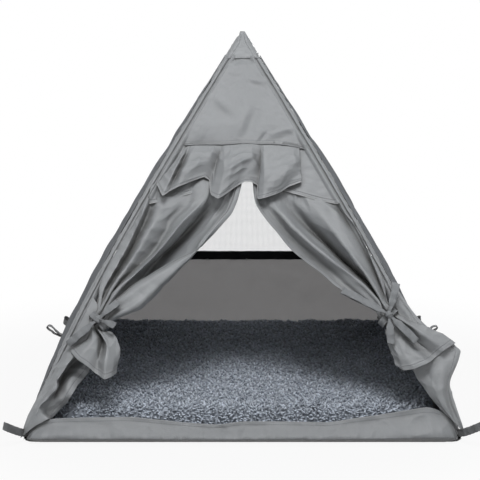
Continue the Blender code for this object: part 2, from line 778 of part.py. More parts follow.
def build_pad(looks, target):
    """A filled pad: cover underneath, filling, and a plush sheet over the top and round the edges."""
    base = FLOOR_TOP

    def plush(u, v):
        return pad_dome(u, v, base + PLUSH_HEM_RISE, PAD_HEIGHT, 0)

    pivot = (0, 0, base)
    cloth("pad_plush_top", 12, 12, plush, PLUSH_THICKNESS, looks["plush"], target, -1, pivot=pivot)

    def underside(u, v):
        a = 2 * u - 1
        b = 2 * v - 1
        across = max(abs(a), abs(b))
        if across < 1e-6:
            return Vector((0, 0, base + PAD_COVER / 2))
        rim = pad_rim(a / across, b / across, PLUSH_THICKNESS + 3 * GAP)
        return Vector((rim.x * across, rim.y * across, base + PAD_COVER / 2))

    cloth("pad_underside", 8, 8, underside, PAD_COVER, looks["cloth"], target, pivot=pivot)

    filling_base = base + PAD_COVER + GAP
    filling_top = PAD_HEIGHT - PLUSH_THICKNESS - FILLING_EASE
    mesh = bpy.data.meshes.new("pad_filling")
    dome = bmesh.new()
    bmesh.ops.create_grid(dome, x_segments=10, y_segments=10, size=0.5)
    for corner in dome.verts:
        place = (corner.co.x + 0.5, corner.co.y + 0.5)
        corner.co = pad_dome(*place, filling_base, filling_top, PLUSH_THICKNESS + FILLING_EASE)
        corner.co -= Vector(pivot)
    rim = [edge_line for edge_line in dome.edges if edge_line.is_boundary]
    bmesh.ops.contextual_create(dome, geom=rim)
    bmesh.ops.recalc_face_normals(dome, faces=dome.faces)
    dome.to_mesh(mesh)
    dome.free()
    mesh.shade_smooth()
    mesh.set_sharp_from_angle(angle=math.radians(60))
    filling = add_object("pad_filling", mesh, looks["filling"], target)
    filling.location = pivot


def keep_off_sleeve(point, side):
    """Moves a point of the front cloth straight away from the pole sleeve on its side, if it is close."""
    axis_point = pole_axis(side, -1, point.z)
    for _ in range(2):
        along = pole_direction(side, -1, axis_point.z)
        axis_point = axis_point + along * (point - axis_point).dot(along)
        axis_point = pole_axis(side, -1, axis_point.z)
    away = point - axis_point
    away -= along * away.dot(along)
    clear = SLEEVE_RADIUS + CLOTH / 2 + 2 * GAP
    if away.length >= clear:
        return point
    return point + away.normalized() * (clear - away.length)


def beside_pole(side, inset, z, out):
    """A point of the front, so far in from the pole's centre line on its side."""
    return FRONT.point(side * (pole_axis(1, -1, z).x - inset), z, out)


BAND_CLEARANCE = 0.0015
BAND_ROOM = RIBBON_WIDTH / 2 + BAND_CLEARANCE


def tie_frame(side, tie):
    """The axes of the gathered cloth at a tie: its centre, across it towards the door, outwards, along."""
    centre = beside_pole(side, *tie, BUNDLE_OUT)
    lean = FRONT.upslope(tie[1])
    across = -(FRONT.along * side * math.sin(BUNDLE_SLOPE) + lean * math.cos(BUNDLE_SLOPE))
    outward = FRONT.normal(tie[1])
    along = FRONT.along * side * math.cos(BUNDLE_SLOPE) - lean * math.sin(BUNDLE_SLOPE)
    return centre, across, outward, along


def bundle_point(side, tie, share, depth, along_shift=0.0):
    """A point of the gathered cloth at the tie: share runs across it from the pole side, depth outwards."""
    centre, across, outward, along = tie_frame(side, tie)
    reach = 2 * share - 1
    room = BUNDLE_HALF_DEPTH * (1 - reach**4) ** 0.5
    return centre + across * reach * BUNDLE_HALF_WIDTH + outward * depth * room + along * along_shift


def curtain(name, side, tie, turned_edge, looks, target):
    """The gathered sheet from the gable's edge down to the tie, in folds that close up on the way.

    Its pole side stays on the pole as far as POLE_SIDE_RISE above the tie.
    """
    across = tie_frame(side, tie)[1]

    def hang(share, run):
        top_z = gable_edge(1 - share) - GAP - CLOTH
        top_across = FRONT.panel_limit(top_z) * (1 - share) + MEETING_GAP / 2 * share
        top = FRONT.point(side * top_across, top_z, PANEL_OUT)
        gathered = share**GATHER_SKEW
        wave = math.sin(math.tau * CURTAIN_FOLDS * gathered + FOLD_PHASE) * ease(gathered * 9)
        waist = bundle_point(side, tie, gathered, wave, -BAND_ROOM)
        sag = CURTAIN_SAG * share**1.5 * math.sin(math.pi * run**0.8)
        loose = FOLD_DEPTH * wave * ease(run * 2.5) * (1 - run) + CURTAIN_BOW * math.sin(math.pi * run)
        normal = FRONT.normal((top_z + tie[1]) / 2)
        spot = top + (waist - top) * run**0.95 + across * sag + normal * loose
        z = min(spot.z, top_z + (tie[1] + POLE_SIDE_RISE - top_z) * run)
        sewn = FRONT.point(side * FRONT.panel_limit(z), z, PANEL_OUT)
        pull = max(0.0, 1 - share / POLE_SIDE_SHARE) ** 2 * ease(5 * (1 - run))
        return spot + (sewn - spot) * pull

    def place(u, v):
        share = u if side < 0 else 1 - u
        if v == 0:
            wave = math.sin(math.tau * CURTAIN_FOLDS * share**GATHER_SKEW + FOLD_PHASE)
            return bundle_point(side, tie, share**GATHER_SKEW, wave * ease(9 * share**GATHER_SKEW), -GAP)
        run = min(1.0, (1 - v) * CURTAIN_ROWS / (CURTAIN_ROWS - 1))
        spot = hang(share, run)
        if turned_edge and share > HEM_TURN and 0 < run < 1:
            crease = hang(HEM_TURN, run)
            width = (spot - crease).length
            angle = HEM_TURN_ANGLE * ease(3 * (run - HEM_TURN_START)) * ease(4 * (1 - run))
            rolled = min(angle, width / HEM_TURN_RADIUS)
            straight = width - rolled * HEM_TURN_RADIUS
            reach = HEM_TURN_RADIUS * math.sin(rolled) + straight * math.cos(rolled)
            lift = HEM_TURN_RADIUS * (1 - math.cos(rolled)) + straight * math.sin(rolled)
            spot = crease + (spot - crease).normalized() * reach + FRONT.normal(spot.z) * lift
        return keep_off_sleeve(spot, side)

    return cloth(name, CURTAIN_COLUMNS, CURTAIN_ROWS, place, CLOTH, looks["cloth"], target)


def skirt(name, side, tie, hem, side_swell, looks, target):
    """The curtain below its tie: it fans out from the gathered cloth to its hem."""
    hem_points = [beside_pole(side, *point) for point in hem]

    def place(u, v):
        share = u if side < 0 else 1 - u
        run = max(0.0, ((1 - v) * SKIRT_ROWS - 1) / (SKIRT_ROWS - 1))
        pleat = math.cos(math.tau * SKIRT_FOLDS * share)
        if v == 1:
            return bundle_point(side, tie, 0.12 + 0.76 * share, 0.5 * pleat, GAP)
        start = bundle_point(side, tie, 0.12 + 0.76 * share, 0.5 * pleat, BAND_ROOM)
        spot = start + (between(hem_points, share) - start) * run
        _, across, outward, _ = tie_frame(side, tie)
        spot += across * side_swell * share**3 * math.sin(math.pi * run**0.8)
        spot += outward * math.sin(math.pi * run) * (SKIRT_SWELL * math.sin(math.pi * share) + SKIRT_PLEAT * pleat)
        return keep_off_sleeve(spot, side)

    return cloth(name, 14, SKIRT_ROWS, place, CLOTH, looks["cloth"], target)


def flap(name, side, pole_edge, hem, looks, target):
    """The curtain's outer part below the tie, from the pole sleeve to its hem."""
    inner = [beside_pole(side, *point) for point in pole_edge]
    outer = [beside_pole(side, *point) for point in hem]

    def place(u, v):
        share = u if side < 0 else 1 - u
        spot = between(inner, 1 - v).lerp(between(outer, 1 - v), share)
        return keep_off_sleeve(spot, side)

    return cloth(name, 5, 12, place, CLOTH, looks["cloth"], target)


def build_valance(looks, target):
    last = len(VALANCE_PLEATS) - 1

    def place(u, v):
        at = u * last
        i = min(int(at + 1e-6), last - 1)
        share = at - i
        pleat = [a + (b - a) * share for a, b in zip(VALANCE_PLEATS[i], VALANCE_PLEATS[i + 1])]
        seam_across, hem_across, hem_height, hem_out = pleat
        run = 1 - v
        across = seam_across + (hem_across - seam_across) * run
        z = SEAM_HEIGHT + (hem_height - SEAM_HEIGHT) * run
        return FRONT.point(across, z, VALANCE_OUT + (hem_out - VALANCE_OUT) * run**0.5)

    pivot = FRONT.point(0, SEAM_HEIGHT, VALANCE_OUT)
    cloth("valance", 2 * last, 6, place, CLOTH, looks["cloth"], target, pivot=pivot)


def build_tie(word, side, tie, ends, looks, target):
    """The ribbon round the gathered cloth, its knot, and the ends and bow loops that leave the knot."""
    centre, across, outward, along = tie_frame(side, tie)
    half_width = BUNDLE_HALF_WIDTH + BAND_EASE
    half_depth = BUNDLE_HALF_DEPTH + BAND_EASE

    def band_place(u, v):
        c = math.cos(math.tau * u)
        s = math.sin(math.tau * u)
        ring = (c**4 + s**4) ** -0.25
        spot = centre + across * half_width * c * ring - outward * half_depth * s * ring
        return spot + along * (v - 0.5) * RIBBON_WIDTH

    cloth(f"{word}_tie_band", 16, 1, band_place, RIBBON_THICKNESS, looks["ribbon"], target, 1, seam=True)

    knot_centre = centre + outward * (half_depth + RIBBON_THICKNESS + KNOT_DEPTH + GAP)
    mesh = bpy.data.meshes.new(f"{word}_tie_knot")
    ball = bmesh.new()
    bmesh.ops.create_uvsphere(ball, u_segments=10, v_segments=6, radius=1)
    for corner in ball.verts:
        corner.co = (corner.co.x * KNOT_RADIUS, corner.co.y * KNOT_RADIUS, corner.co.z * KNOT_DEPTH)
    ball.to_mesh(mesh)
    ball.free()
    mesh.shade_smooth()
    knot = add_object(f"{word}_tie_knot", mesh, looks["ribbon"], target)
    knot.matrix_world = frame_from(knot_centre, outward, along)

    for name, (inset, end_z, end_out, folded) in ends.items():
        end = beside_pole(side, inset, end_z, end_out)
        level = end - knot_centre
        level = (level - outward * level.dot(outward)).normalized()
        sideways = outward.cross(level)
        root = knot_centre + level * (KNOT_RADIUS + 3 * GAP)
        if folded:
            size = ((end - root).length, RIBBON_WIDTH, RIBBON_THICKNESS, BOW_BULGE)
            loop(f"{word}_{name}", root, end - root, sideways, size, KNOT_PINCH, looks["ribbon"], target)
        else:
            middle = root.lerp(end, 0.5) + outward * TAIL_ARCH
            strap(f"{word}_{name}", [root, middle, end], sideways, KNOT_PINCH, looks, target)


def build_front(looks, target):
    """Door curtains drawn back to the poles, the valance over them, and the ribbons."""
    build_valance(looks, target)
    curtain("left_curtain", -1, LEFT_TIE, True, looks, target)
    curtain("right_curtain", 1, RIGHT_TIE, False, looks, target)
    skirt("left_curtain_skirt", -1, LEFT_TIE, LEFT_SKIRT_HEM, 0.009, looks, target)
    skirt("right_curtain_skirt", 1, RIGHT_TIE, RIGHT_SKIRT_HEM, 0.0, looks, target)
    flap("left_curtain_flap", -1, LEFT_FLAP_POLE_EDGE, LEFT_FLAP_HEM, looks, target)
    flap("right_curtain_flap", 1, RIGHT_FLAP_POLE_EDGE, RIGHT_FLAP_HEM, looks, target)
    build_tie("left", -1, LEFT_TIE, LEFT_ENDS, looks, target)
    build_tie("right", 1, RIGHT_TIE, RIGHT_ENDS, looks, target)


def build_peg_loops(looks, target):
    """Webbing loops at the four corners, and one half way along each side wall."""
    for corner, (sx, sy) in CORNERS.items():
        level = Vector((sx, sy, 0)).normalized()
        reach = (SLEEVE_RADIUS + LOOP_THICKNESS + 2 * GAP) * LOOP_ROOT_STRETCH
        root = pole_axis(sx, sy, LOOP_HEIGHT) + level * reach
        ahead = level * math.cos(LOOP_TILT) + UP * math.sin(LOOP_TILT)
        name = f"peg_loop_{corner}"
        size = (LOOP_LENGTH, LOOP_WIDTH, LOOP_THICKNESS, LOOP_BULGE)
        loop(name, root, ahead, UP, size, 1, looks["webbing"], target)
    for word, face, billow in (("left", LEFT, LEFT_BILLOW), ("right", RIGHT, RIGHT_BILLOW)):
        root = wall_point(face, 0, SIDE_LOOP_HEIGHT, billow, CLOTH / 2 + LOOP_THICKNESS + 2 * GAP)
        ahead = face.outward * math.cos(SIDE_LOOP_TILT) + UP * math.sin(SIDE_LOOP_TILT)
        size = (SIDE_LOOP_LENGTH, LOOP_WIDTH, LOOP_THICKNESS, LOOP_BULGE)
        loop(f"side_loop_{word}", root, ahead, face.along, size, 1, looks["webbing"], target)


def main():
    clear_scene()
    target = collection(PART_COLLECTION)
    cutters = collection(CUTTER_COLLECTION)
    looks = {
        "cloth": material("grey_cloth", (0.30, 0.31, 0.32), 0.55),
        "tape": material("black_tape", (0.01, 0.01, 0.01), 0.7),
        "net": material("window_net", (0.80, 0.81, 0.82), 0.6),
        "pole": material("fibreglass", (0.75, 0.75, 0.72), 0.4),
        "steel": material("steel", (0.6, 0.6, 0.6), 0.3, 1.0),
        "rubber": material("rubber", (0.03, 0.03, 0.03), 0.8),
        "hub": material("hub_plastic", (0.05, 0.05, 0.05), 0.5),
        "filling": material("filling", (0.85, 0.85, 0.85), 0.9),
        "plush": material("plush", (0.35, 0.38, 0.42), 0.95),
        "ribbon": material("ribbon", (0.28, 0.29, 0.30), 0.6),
        "webbing": material("webbing", (0.16, 0.16, 0.16), 0.8),
    }
    build_floor(looks, target)
    build_poles(looks, target)
    build_hub(looks, target, cutters)
    build_sleeves(looks, target)
    build_cap(looks, target)
    build_walls(looks, target)
    build_pad(looks, target)
    build_front(looks, target)
    build_peg_loops(looks, target)


main()
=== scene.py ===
"""The looks of the pet teepee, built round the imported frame.

Metres, +Z up, -Y is the door side. Front cloth is drawn as rails in the photograph's pixels, which are
cast from the camera on to the bowed front face. The rest follows the same driving sizes as the frame.
"""
import math

import bpy
import numpy as np
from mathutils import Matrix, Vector


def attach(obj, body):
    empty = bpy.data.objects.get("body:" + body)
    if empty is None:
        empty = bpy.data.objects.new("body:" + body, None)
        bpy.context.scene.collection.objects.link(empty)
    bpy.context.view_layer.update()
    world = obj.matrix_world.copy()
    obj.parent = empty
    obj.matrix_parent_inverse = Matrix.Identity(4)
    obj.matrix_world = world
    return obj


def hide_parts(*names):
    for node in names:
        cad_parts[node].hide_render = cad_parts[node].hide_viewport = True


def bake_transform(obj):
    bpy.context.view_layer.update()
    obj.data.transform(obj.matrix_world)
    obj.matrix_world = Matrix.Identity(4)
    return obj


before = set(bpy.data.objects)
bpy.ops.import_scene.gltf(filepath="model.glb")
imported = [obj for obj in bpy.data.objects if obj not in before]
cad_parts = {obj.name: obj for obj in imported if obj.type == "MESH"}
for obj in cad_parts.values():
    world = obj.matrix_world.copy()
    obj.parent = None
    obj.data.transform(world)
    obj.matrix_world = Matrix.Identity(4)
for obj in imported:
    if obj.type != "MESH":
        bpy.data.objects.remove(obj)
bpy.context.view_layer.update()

# Driving sizes, as in the frame
BASE = 0.600
HEIGHT = 0.550
TIP = 0.007
EDGE_BOW = 0.0205
BOW_SKEW = 0.7
STRAIGHT_FOOT = 0.030
WALL_OUTSET = 0.0050
LEFT_BILLOW = 0.0085
RIGHT_BILLOW = 0.0075
SLEEVE_RADIUS = 0.0082
POLE_INSET = 0.0084
CAP_DEPTH = 0.040
PANEL_OUT = WALL_OUTSET - POLE_INSET
EDGE_ANGLE = math.atan2(BASE / 2, math.hypot(HEIGHT, BASE / 2))
FLOOR_TOP = 0.0019
CAP_RIM = HEIGHT - CAP_DEPTH
PANEL_TOP = CAP_RIM + 0.004
WALL_LOW = 0.0031
WALL_HIGH = CAP_RIM - 0.0024
UP = np.array((0.0, 0.0, 1.0))
CORNERS = {"front_left": (-1, -1), "front_right": (1, -1), "back_left": (-1, 1), "back_right": (1, 1)}

# Real cloth: its thickness, a hem's width and how far in from the edge it is sewn, and the sewing thread
CLOTH = 0.0005
HEM = 0.008
HEM_STITCH_IN = 0.0012
STITCH_LIFT = CLOTH * 0.6
THREAD_WIDTH = 0.0006
BOTH_SIDES = (("front", 1), ("back", -1))
BOTH_FACES = (("outer", 1), ("inner", -1))

# The photograph's camera, worked out from the floor's corners, the tip and the window
CAMERA_PLACE = np.array((0.0, -2.1, 0.59))
CAMERA_TILT = math.radians(9.75)
FOCAL_PIXELS = 1371.0
FRAME_PIXELS = 480
CENTRE_PIXEL = (242.5, 240.0)
SENSOR = 36.0


def edge(z):
    """Half the tent's width at height z: a straight slope to the blunt tip, bowed outwards."""
    share = np.clip(np.asarray(z, float) / HEIGHT, 0, 1)
    return BASE / 2 + (TIP / 2 - BASE / 2) * share + EDGE_BOW * np.sin(np.pi * share**BOW_SKEW)


def run_out(z):
    """How far the tent's side moves outwards for each metre upwards, at height z."""
    step = 0.002
    z = np.clip(z, STRAIGHT_FOOT, HEIGHT - step)
    return (edge(z + step) - edge(z - step)) / (2 * step)


def unit(vectors):
    """Vectors with the same directions and a length of 1."""
    return vectors / np.maximum(np.linalg.norm(vectors, axis=-1, keepdims=True), 1e-12)


def pole_half(z):
    """How far the pole's centre line is from the middle, along X and along Y, at height z."""
    at = np.maximum(z, STRAIGHT_FOOT)
    lean = 1 / np.sqrt(1 + run_out(at) ** 2)
    return edge(at) - POLE_INSET / lean - run_out(at) * (at - z)


class Face:
    """One sloping face of the tent. `along` runs across it and `outward` leaves it level."""

    def __init__(self, along, outward):
        self.along = np.array(along, float)
        self.outward = np.array(outward, float)

    def normal(self, z):
        z = np.asarray(z, float)
        return unit(self.outward - UP * run_out(z)[..., None])

    def point(self, across, z, out=0.0):
        across, z, out = np.broadcast_arrays(np.asarray(across, float), z, out)
        on_face = self.along * across[..., None] + self.outward * edge(z)[..., None] + UP * z[..., None]
        return on_face + self.normal(z) * out[..., None]


FRONT = Face((1, 0, 0), (0, -1, 0))
BACK = Face((-1, 0, 0), (0, 1, 0))
LEFT = Face((0, -1, 0), (-1, 0, 0))
RIGHT = Face((0, 1, 0), (1, 0, 0))


def panel_limit(z):
    """Half a panel's width at height z, where it meets the pole sleeves."""
    gap, depth = 0.0008, 0.0038
    chord = math.sqrt((SLEEVE_RADIUS + gap) ** 2 - depth**2)
    return pole_half(z) - chord / math.cos(EDGE_ANGLE)


def ease(value):
    """A soft step from 0 to 1 as the value goes from 0 to 1."""
    share = np.clip(value, 0, 1)
    return share * share * (3 - 2 * share)


def seam_limit(z):
    """Half a panel's width at height z, where its edge is sewn on to the front of the pole's sleeve."""
    short_of_pole = 0.0006
    return pole_half(z) - short_of_pole


def over_sleeve(out, across, z):
    """How far out a panel lies: at `out`, or over the sleeve where it is higher, drawn in at its seam."""
    off = (pole_half(z) - np.abs(across)) * math.cos(EDGE_ANGLE)
    lift, soft, seam_drop, seam_width = 0.0009, 0.0004, 0.0011, 0.0018
    sleeve = -POLE_INSET + np.sqrt(np.maximum(SLEEVE_RADIUS**2 - off**2, 0)) + lift
    raised = np.maximum(out, sleeve) + soft * np.log1p(np.exp(-np.abs(out - sleeve) / soft))
    away = np.maximum(seam_limit(z) - np.abs(across), 0)
    return raised - seam_drop * (1 - ease(away / seam_width))


def pixel_ray(x, y):
    """The direction from the camera through a pixel of the photograph."""
    ahead = np.array((0, math.cos(CAMERA_TILT), -math.sin(CAMERA_TILT)))
    above = np.array((0, math.sin(CAMERA_TILT), math.cos(CAMERA_TILT)))
    right = np.array((1.0, 0, 0))
    level = ahead + right * (x - CENTRE_PIXEL[0]) / FOCAL_PIXELS
    return level - above * (y - CENTRE_PIXEL[1]) / FOCAL_PIXELS


def on_front(x, y, out):
    """The point seen at a pixel, so far out from the bowed front face."""
    ray = pixel_ray(x, y)
    reach = 1.85
    for _ in range(30):
        at = CAMERA_PLACE + ray * reach
        z = at[2]
        for _ in range(4):
            z += at[2] - FRONT.point(at[0], z, out)[2]
        reach += 0.7 * (FRONT.point(at[0], z, out)[1] - at[1]) / ray[1]
    return CAMERA_PLACE + ray * reach


def run_along(points):
    """How far each point of a line is along it, in metres."""
    return np.concatenate(([0], np.cumsum(np.linalg.norm(np.diff(points, axis=0), axis=1))))


def at_runs(line, run, wanted):
    """Points of a line at the wanted distances along it."""
    return np.stack([np.interp(wanted, run, line[:, k]) for k in range(3)], axis=-1)


def spline(points, at):
    """Points of a smooth curve through `points`, at places counted in points from 0."""
    points = np.asarray(points, float)
    at = np.clip(np.asarray(at, float), 0, len(points) - 1 - 1e-9)
    i = at.astype(int)
    t = (at - i)[:, None]
    padded = np.concatenate(([2 * points[0] - points[1]], points, [2 * points[-1] - points[-2]]))
    p0, p1, p2, p3 = (padded[i + k] for k in range(4))
    bend = (2 * p0 - 5 * p1 + 4 * p2 - p3) * t**2 + (3 * p1 - p0 - 3 * p2 + p3) * t**3
    return 0.5 * (2 * p1 + (p2 - p0) * t + bend)


def smooth_line(points, count):
    """`count` points at equal steps along a smooth curve through the points."""
    fine = spline(points, np.linspace(0, len(points) - 1, 24 * (len(points) - 1) + 1))
    run = run_along(fine)
    return at_runs(fine, run, np.linspace(0, 1, count) * run[-1])


def even_steps(points, count):
    """`count` points at equal steps along the straight stretches between the points."""
    points = np.asarray(points, float)
    run = run_along(points)
    return at_runs(points, run, np.linspace(0, run[-1], count))


def ripples(a, b, size, seed, waves=14):
    """Smooth noise, mostly between -1 and 1, from waves about `size` long that run in all directions."""
    draw = np.random.default_rng(seed)
    total = np.zeros(np.broadcast(a, b).shape)
    for _ in range(waves):
        angle = draw.uniform(0, math.tau)
        pace = math.tau / size * draw.uniform(0.55, 1.6)
        phase = draw.uniform(0, math.tau)
        place = np.asarray(a) * math.cos(angle) + np.asarray(b) * math.sin(angle)
        total += np.sin(pace * place + phase)
    return total / math.sqrt(waves)


def grid_normals(grid):
    """The normal of the cloth at each point of a grid."""
    across = np.gradient(grid, axis=1)
    along = np.gradient(grid, axis=0)
    return unit(np.cross(across, along))


def front_normals(grid, z):
    """A grid's normals, all on the side that the front face looks to at height z."""
    normals = grid_normals(grid)
    return normals * np.sign(np.sum(normals * FRONT.normal(z), axis=2, keepdims=True).mean())


def grid_runs(grid):
    """How far a grid's columns are across it and its rows along it, in metres, on average."""
    across = np.linalg.norm(np.diff(grid, axis=1), axis=2).mean(axis=0)
    along = np.linalg.norm(np.diff(grid, axis=0), axis=2).mean(axis=1)
    return np.concatenate(([0], np.cumsum(across))), np.concatenate(([0], np.cumsum(along)))


def grid_flat(grid):
    """Flat places, in metres, of a grid's points: across and along as on the cloth before it was hung."""
    return np.meshgrid(*grid_runs(grid))


def add_mesh(name, points, faces, look, flat=None, smooth=True):
    """A new object. `flat` holds its points as they lie on the flat cloth, for the weave."""
    mesh = bpy.data.meshes.new(name)
    mesh.from_pydata(np.asarray(points).reshape(-1, 3).tolist(), [], faces)
    if smooth:
        mesh.shade_smooth()
    made = bpy.data.objects.new(name, mesh)
    if flat is not None:
        point_values(made, "flat", flat)
    mesh.materials.append(look)
    bpy.context.scene.collection.objects.link(made)
    return made


def point_values(made, name, values):
    """Gives a mesh a named vector at each of its points."""
    layer = made.data.attributes.new(name, "FLOAT_VECTOR", "POINT")
    layer.data.foreach_set("vector", np.asarray(values, np.float32).reshape(-1))


def thickened(made, thickness):
    """Gives a sheet its thickness, half on each side."""
    solid = made.modifiers.new("thickness", "SOLIDIFY")
    solid.thickness = thickness
    solid.offset = 0


def grid_faces(rows, columns, wrap=False, keep=None):
    """The four-sided faces between a grid's points. With wrap, the last column joins on to the first."""
    faces = []
    across = columns if wrap else columns - 1
    for r in range(rows - 1):
        for c in range(across):
            if keep is None or keep(r, c):
                d = (c + 1) % columns
                this, following = r * columns, (r + 1) * columns
                faces.append((this + c, this + d, following + d, following + c))
    return faces


def tube_faces(steps, ring):
    """The faces of a closed tube: `steps` rings of `ring` points each, with a face over either end."""
    faces = grid_faces(steps, ring, wrap=True)
    faces.append(tuple(reversed(range(ring))))
    faces.append(tuple((steps - 1) * ring + j for j in range(ring)))
    return faces


def placed(made, body, node_name=None):
    """Puts a piece on its body, in place of a node of the frame where one is named."""
    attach(made, body)
    if node_name:
        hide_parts(node_name)
    return made


def closed(grid):
    """A grid whose first column comes again at its end, as a ring is measured."""
    return np.concatenate((grid, grid[:, :1]), axis=1)


def cloth(name, grid, look, thickness=CLOTH, wrap=False, keep=None, body="tent", node_name=None):
    """A sheet of cloth from a grid of points, rows by columns, that may stand for a node of the frame."""
    rows, columns = grid.shape[:2]
    a, b = grid_flat(grid)
    flat = np.stack((a, b, np.zeros_like(a)), axis=2)
    made = add_mesh(name, grid, grid_faces(rows, columns, wrap, keep), look, flat)
    thickened(made, thickness)
    if not body:
        return made
    return placed(made, body, node_name)


# Materials
def fill(tree, made, inputs):
    """Gives a node its inputs: numbers and colours, or links from other nodes' outputs."""
    for key, value in inputs.items():
        if isinstance(value, bpy.types.NodeSocket):
            tree.links.new(value, made.inputs[key])
        else:
            made.inputs[key].default_value = value


def node(tree, kind, inputs, **settings):
    """A new shader node with its settings and inputs."""
    made = tree.nodes.new("ShaderNode" + kind)
    for key, value in settings.items():
        setattr(made, key, value)
    fill(tree, made, inputs)
    return made


def calc(tree, operation, a, b=0.0):
    return node(tree, "Math", {0: a, 1: b}, operation=operation).outputs[0]


def linear(code):
    """Linear colour from an sRGB code such as 96999C."""
    channels = [int(code[i : i + 2], 16) / 255 for i in (0, 2, 4)]
    return [c / 12.92 if c <= 0.04045 else ((c + 0.055) / 1.055) ** 2.4 for c in channels] + [1.0]


def new_look(name, slot):
    """A new material with its node tree and its Principled shader."""
    look = bpy.data.materials.new(name)
    look.use_nodes = True
    look["slot"] = slot
    return look, look.node_tree, look.node_tree.nodes["Principled BSDF"]


def surface(tree, share, shader, other):
    """Makes a material's surface the shader with a share of the other one."""
    mixed = node(tree, "MixShader", {0: share, 1: shader.outputs[0], 2: other})
    fill(tree, tree.nodes["Material Output"], {"Surface": mixed.outputs[0]})


def mixed_colour(tree, factor, a, b, blend="MIX"):
    """Colour a with a share of b in it, or multiplied by b."""
    inputs = {"Factor": factor, "A": a, "B": b}
    return node(tree, "Mix", inputs, data_type="RGBA", blend_type=blend).outputs["Result"]


def spread_over(tree, amount, low, high):
    """A value from low to high as amount goes from 0 to 1."""
    return node(tree, "MapRange", {"Value": amount, "To Min": low, "To Max": high}).outputs[0]


def tinted(tree, colour, amount, darkest, lightest):
    """The colour, made darker or lighter as amount goes from 0 to 1."""
    return mixed_colour(tree, 1.0, colour, spread_over(tree, amount, darkest, lightest), "MULTIPLY")


def place_of(tree, on_cloth):
    """Where a point is: on the flat cloth, or in the object's own space."""
    if on_cloth:
        return node(tree, "Attribute", {}, attribute_name="flat").outputs["Vector"]
    return node(tree, "TexCoord", {}).outputs["Object"]


def noise(tree, where, size, detail=2.0):
    """Noise with lumps about `size` metres wide."""
    inputs = {"Vector": where, "Scale": 1 / size, "Detail": detail, "Roughness": 0.5}
    return node(tree, "TexNoise", inputs).outputs[0]


def shaded(tree, colour, distance, deepest):
    """Painted shade: the colour, darker and a little warmer where other surfaces stand closer than the
    distance, as shade falls in creases and hollows.
    """
    open_share = node(tree, "AmbientOcclusion", {"Distance": distance}, samples=8).outputs["AO"]
    warm = (deepest * 1.06, deepest, deepest * 0.93, 1)
    deep = mixed_colour(tree, 1.0, colour, warm, "MULTIPLY")
    return mixed_colour(tree, calc(tree, "POWER", open_share, 1.4), deep, colour)


def weave(tree, where, across, along, twill):
    """Height of a weave with threads `across` and `along` wide. Twill shifts its rows, 0 is plain."""
    parts = node(tree, "SeparateXYZ", {0: where}).outputs
    a = calc(tree, "MULTIPLY", parts[0], math.tau / across)
    b = calc(tree, "MULTIPLY", parts[1], math.tau / along)
    a = calc(tree, "ADD", a, calc(tree, "MULTIPLY", b, twill))
    return calc(tree, "MULTIPLY", calc(tree, "SINE", a), calc(tree, "SINE", b))


def bumped(tree, heights):
    """A normal from several (height socket, distance in metres) pairs."""
    normal = None
    for height, distance in heights:
        inputs = {"Height": height, "Distance": distance, "Strength": 1.0}
        if normal is not None:
            inputs["Normal"] = normal
        normal = node(tree, "Bump", inputs).outputs[0]
    return normal


def fabric(name, slot, code, thread, roughness, sheen, specular=0.35, twill=0.0, depth=0.00004,
           through=0.0, glow="B0A9A2"):
    """Woven cloth: threads, slubs, slow changes of colour, fine creases, painted shade in creases and
    hollows, and light that comes through.
    """
    look, tree, shader = new_look(name, slot)
    where = place_of(tree, True)
    threads = weave(tree, where, thread[0], thread[1], twill)
    slub = noise(tree, node(tree, "Mapping", {"Vector": where, "Scale": (1, 0.12, 1)}).outputs[0], 0.0016)
    slow = noise(tree, where, 0.05, 3.0)
    crinkle = noise(tree, where, 0.009, 2.0)
    colour = tinted(tree, linear(code), slow, 0.96, 1.04)
    colour = tinted(tree, colour, slub, 0.97, 1.03)
    colour = tinted(tree, colour, threads, 0.95, 1.03)
    fill(tree, shader, {
        # The base colour carries painted shade in creases and hollows
        "Base Color": shaded(tree, colour, 0.014, 0.34),
        "Roughness": spread_over(tree, slow, roughness - 0.06, roughness + 0.06),
        "Specular IOR Level": specular,
        "Sheen Weight": sheen,
        "Sheen Roughness": 0.4,
        "Normal": bumped(tree, [(crinkle, 0.0007), (slub, depth * 0.6), (threads, depth)]),
    })
    if through:
        passed = node(tree, "BsdfTranslucent", {"Color": linear(glow)}).outputs[0]
        surface(tree, through, shader, passed)
    return look


def solid_look(name, slot, code, roughness, metallic=0.0, grain=0.004, stretch=(1, 1, 1), spread=0.08):
    """A hard material with a fine grain, brushed or drawn where it is stretched."""
    look, tree, shader = new_look(name, slot)
    where = node(tree, "Mapping", {"Vector": place_of(tree, False), "Scale": stretch}).outputs[0]
    fine = noise(tree, where, grain, 4.0)
    slow = noise(tree, where, grain * 12, 2.0)
    colour = tinted(tree, linear(code), fine, 1 - spread, 1 + spread)
    fill(tree, shader, {
        "Base Color": tinted(tree, colour, slow, 0.94, 1.05),
        "Roughness": spread_over(tree, fine, roughness - 0.08, roughness + 0.1),
        "Metallic": metallic,
        "Normal": bumped(tree, [(fine, 0.00008)]),
    })
    return look


def plush_look(name, dark, light):
    """Fibres whose colour runs from a dark root to a light tip, which paints shade deep in the pile and
    light on its tips, and changes from tuft to tuft.
    """
    look, tree, shader = new_look(name, "plush")
    tone = node(tree, "Attribute", {}, attribute_name="tone")
    parts = node(tree, "SeparateXYZ", {0: tone.outputs["Vector"]}).outputs
    patch = noise(tree, place_of(tree, False), 0.012, 3.0)
    colour = mixed_colour(tree, parts[0], linear(dark), linear(light))
    colour = tinted(tree, colour, parts[1], 0.82, 1.22)
    fill(tree, shader, {
        "Base Color": tinted(tree, colour, patch, 0.88, 1.12),
        "Roughness": 0.8,
        "Sheen Weight": 0.25,
        "Specular IOR Level": 0.25,
        "Normal": bumped(tree, [(noise(tree, place_of(tree, False), 0.0012, 3.0), 0.0003)]),
    })
    return look


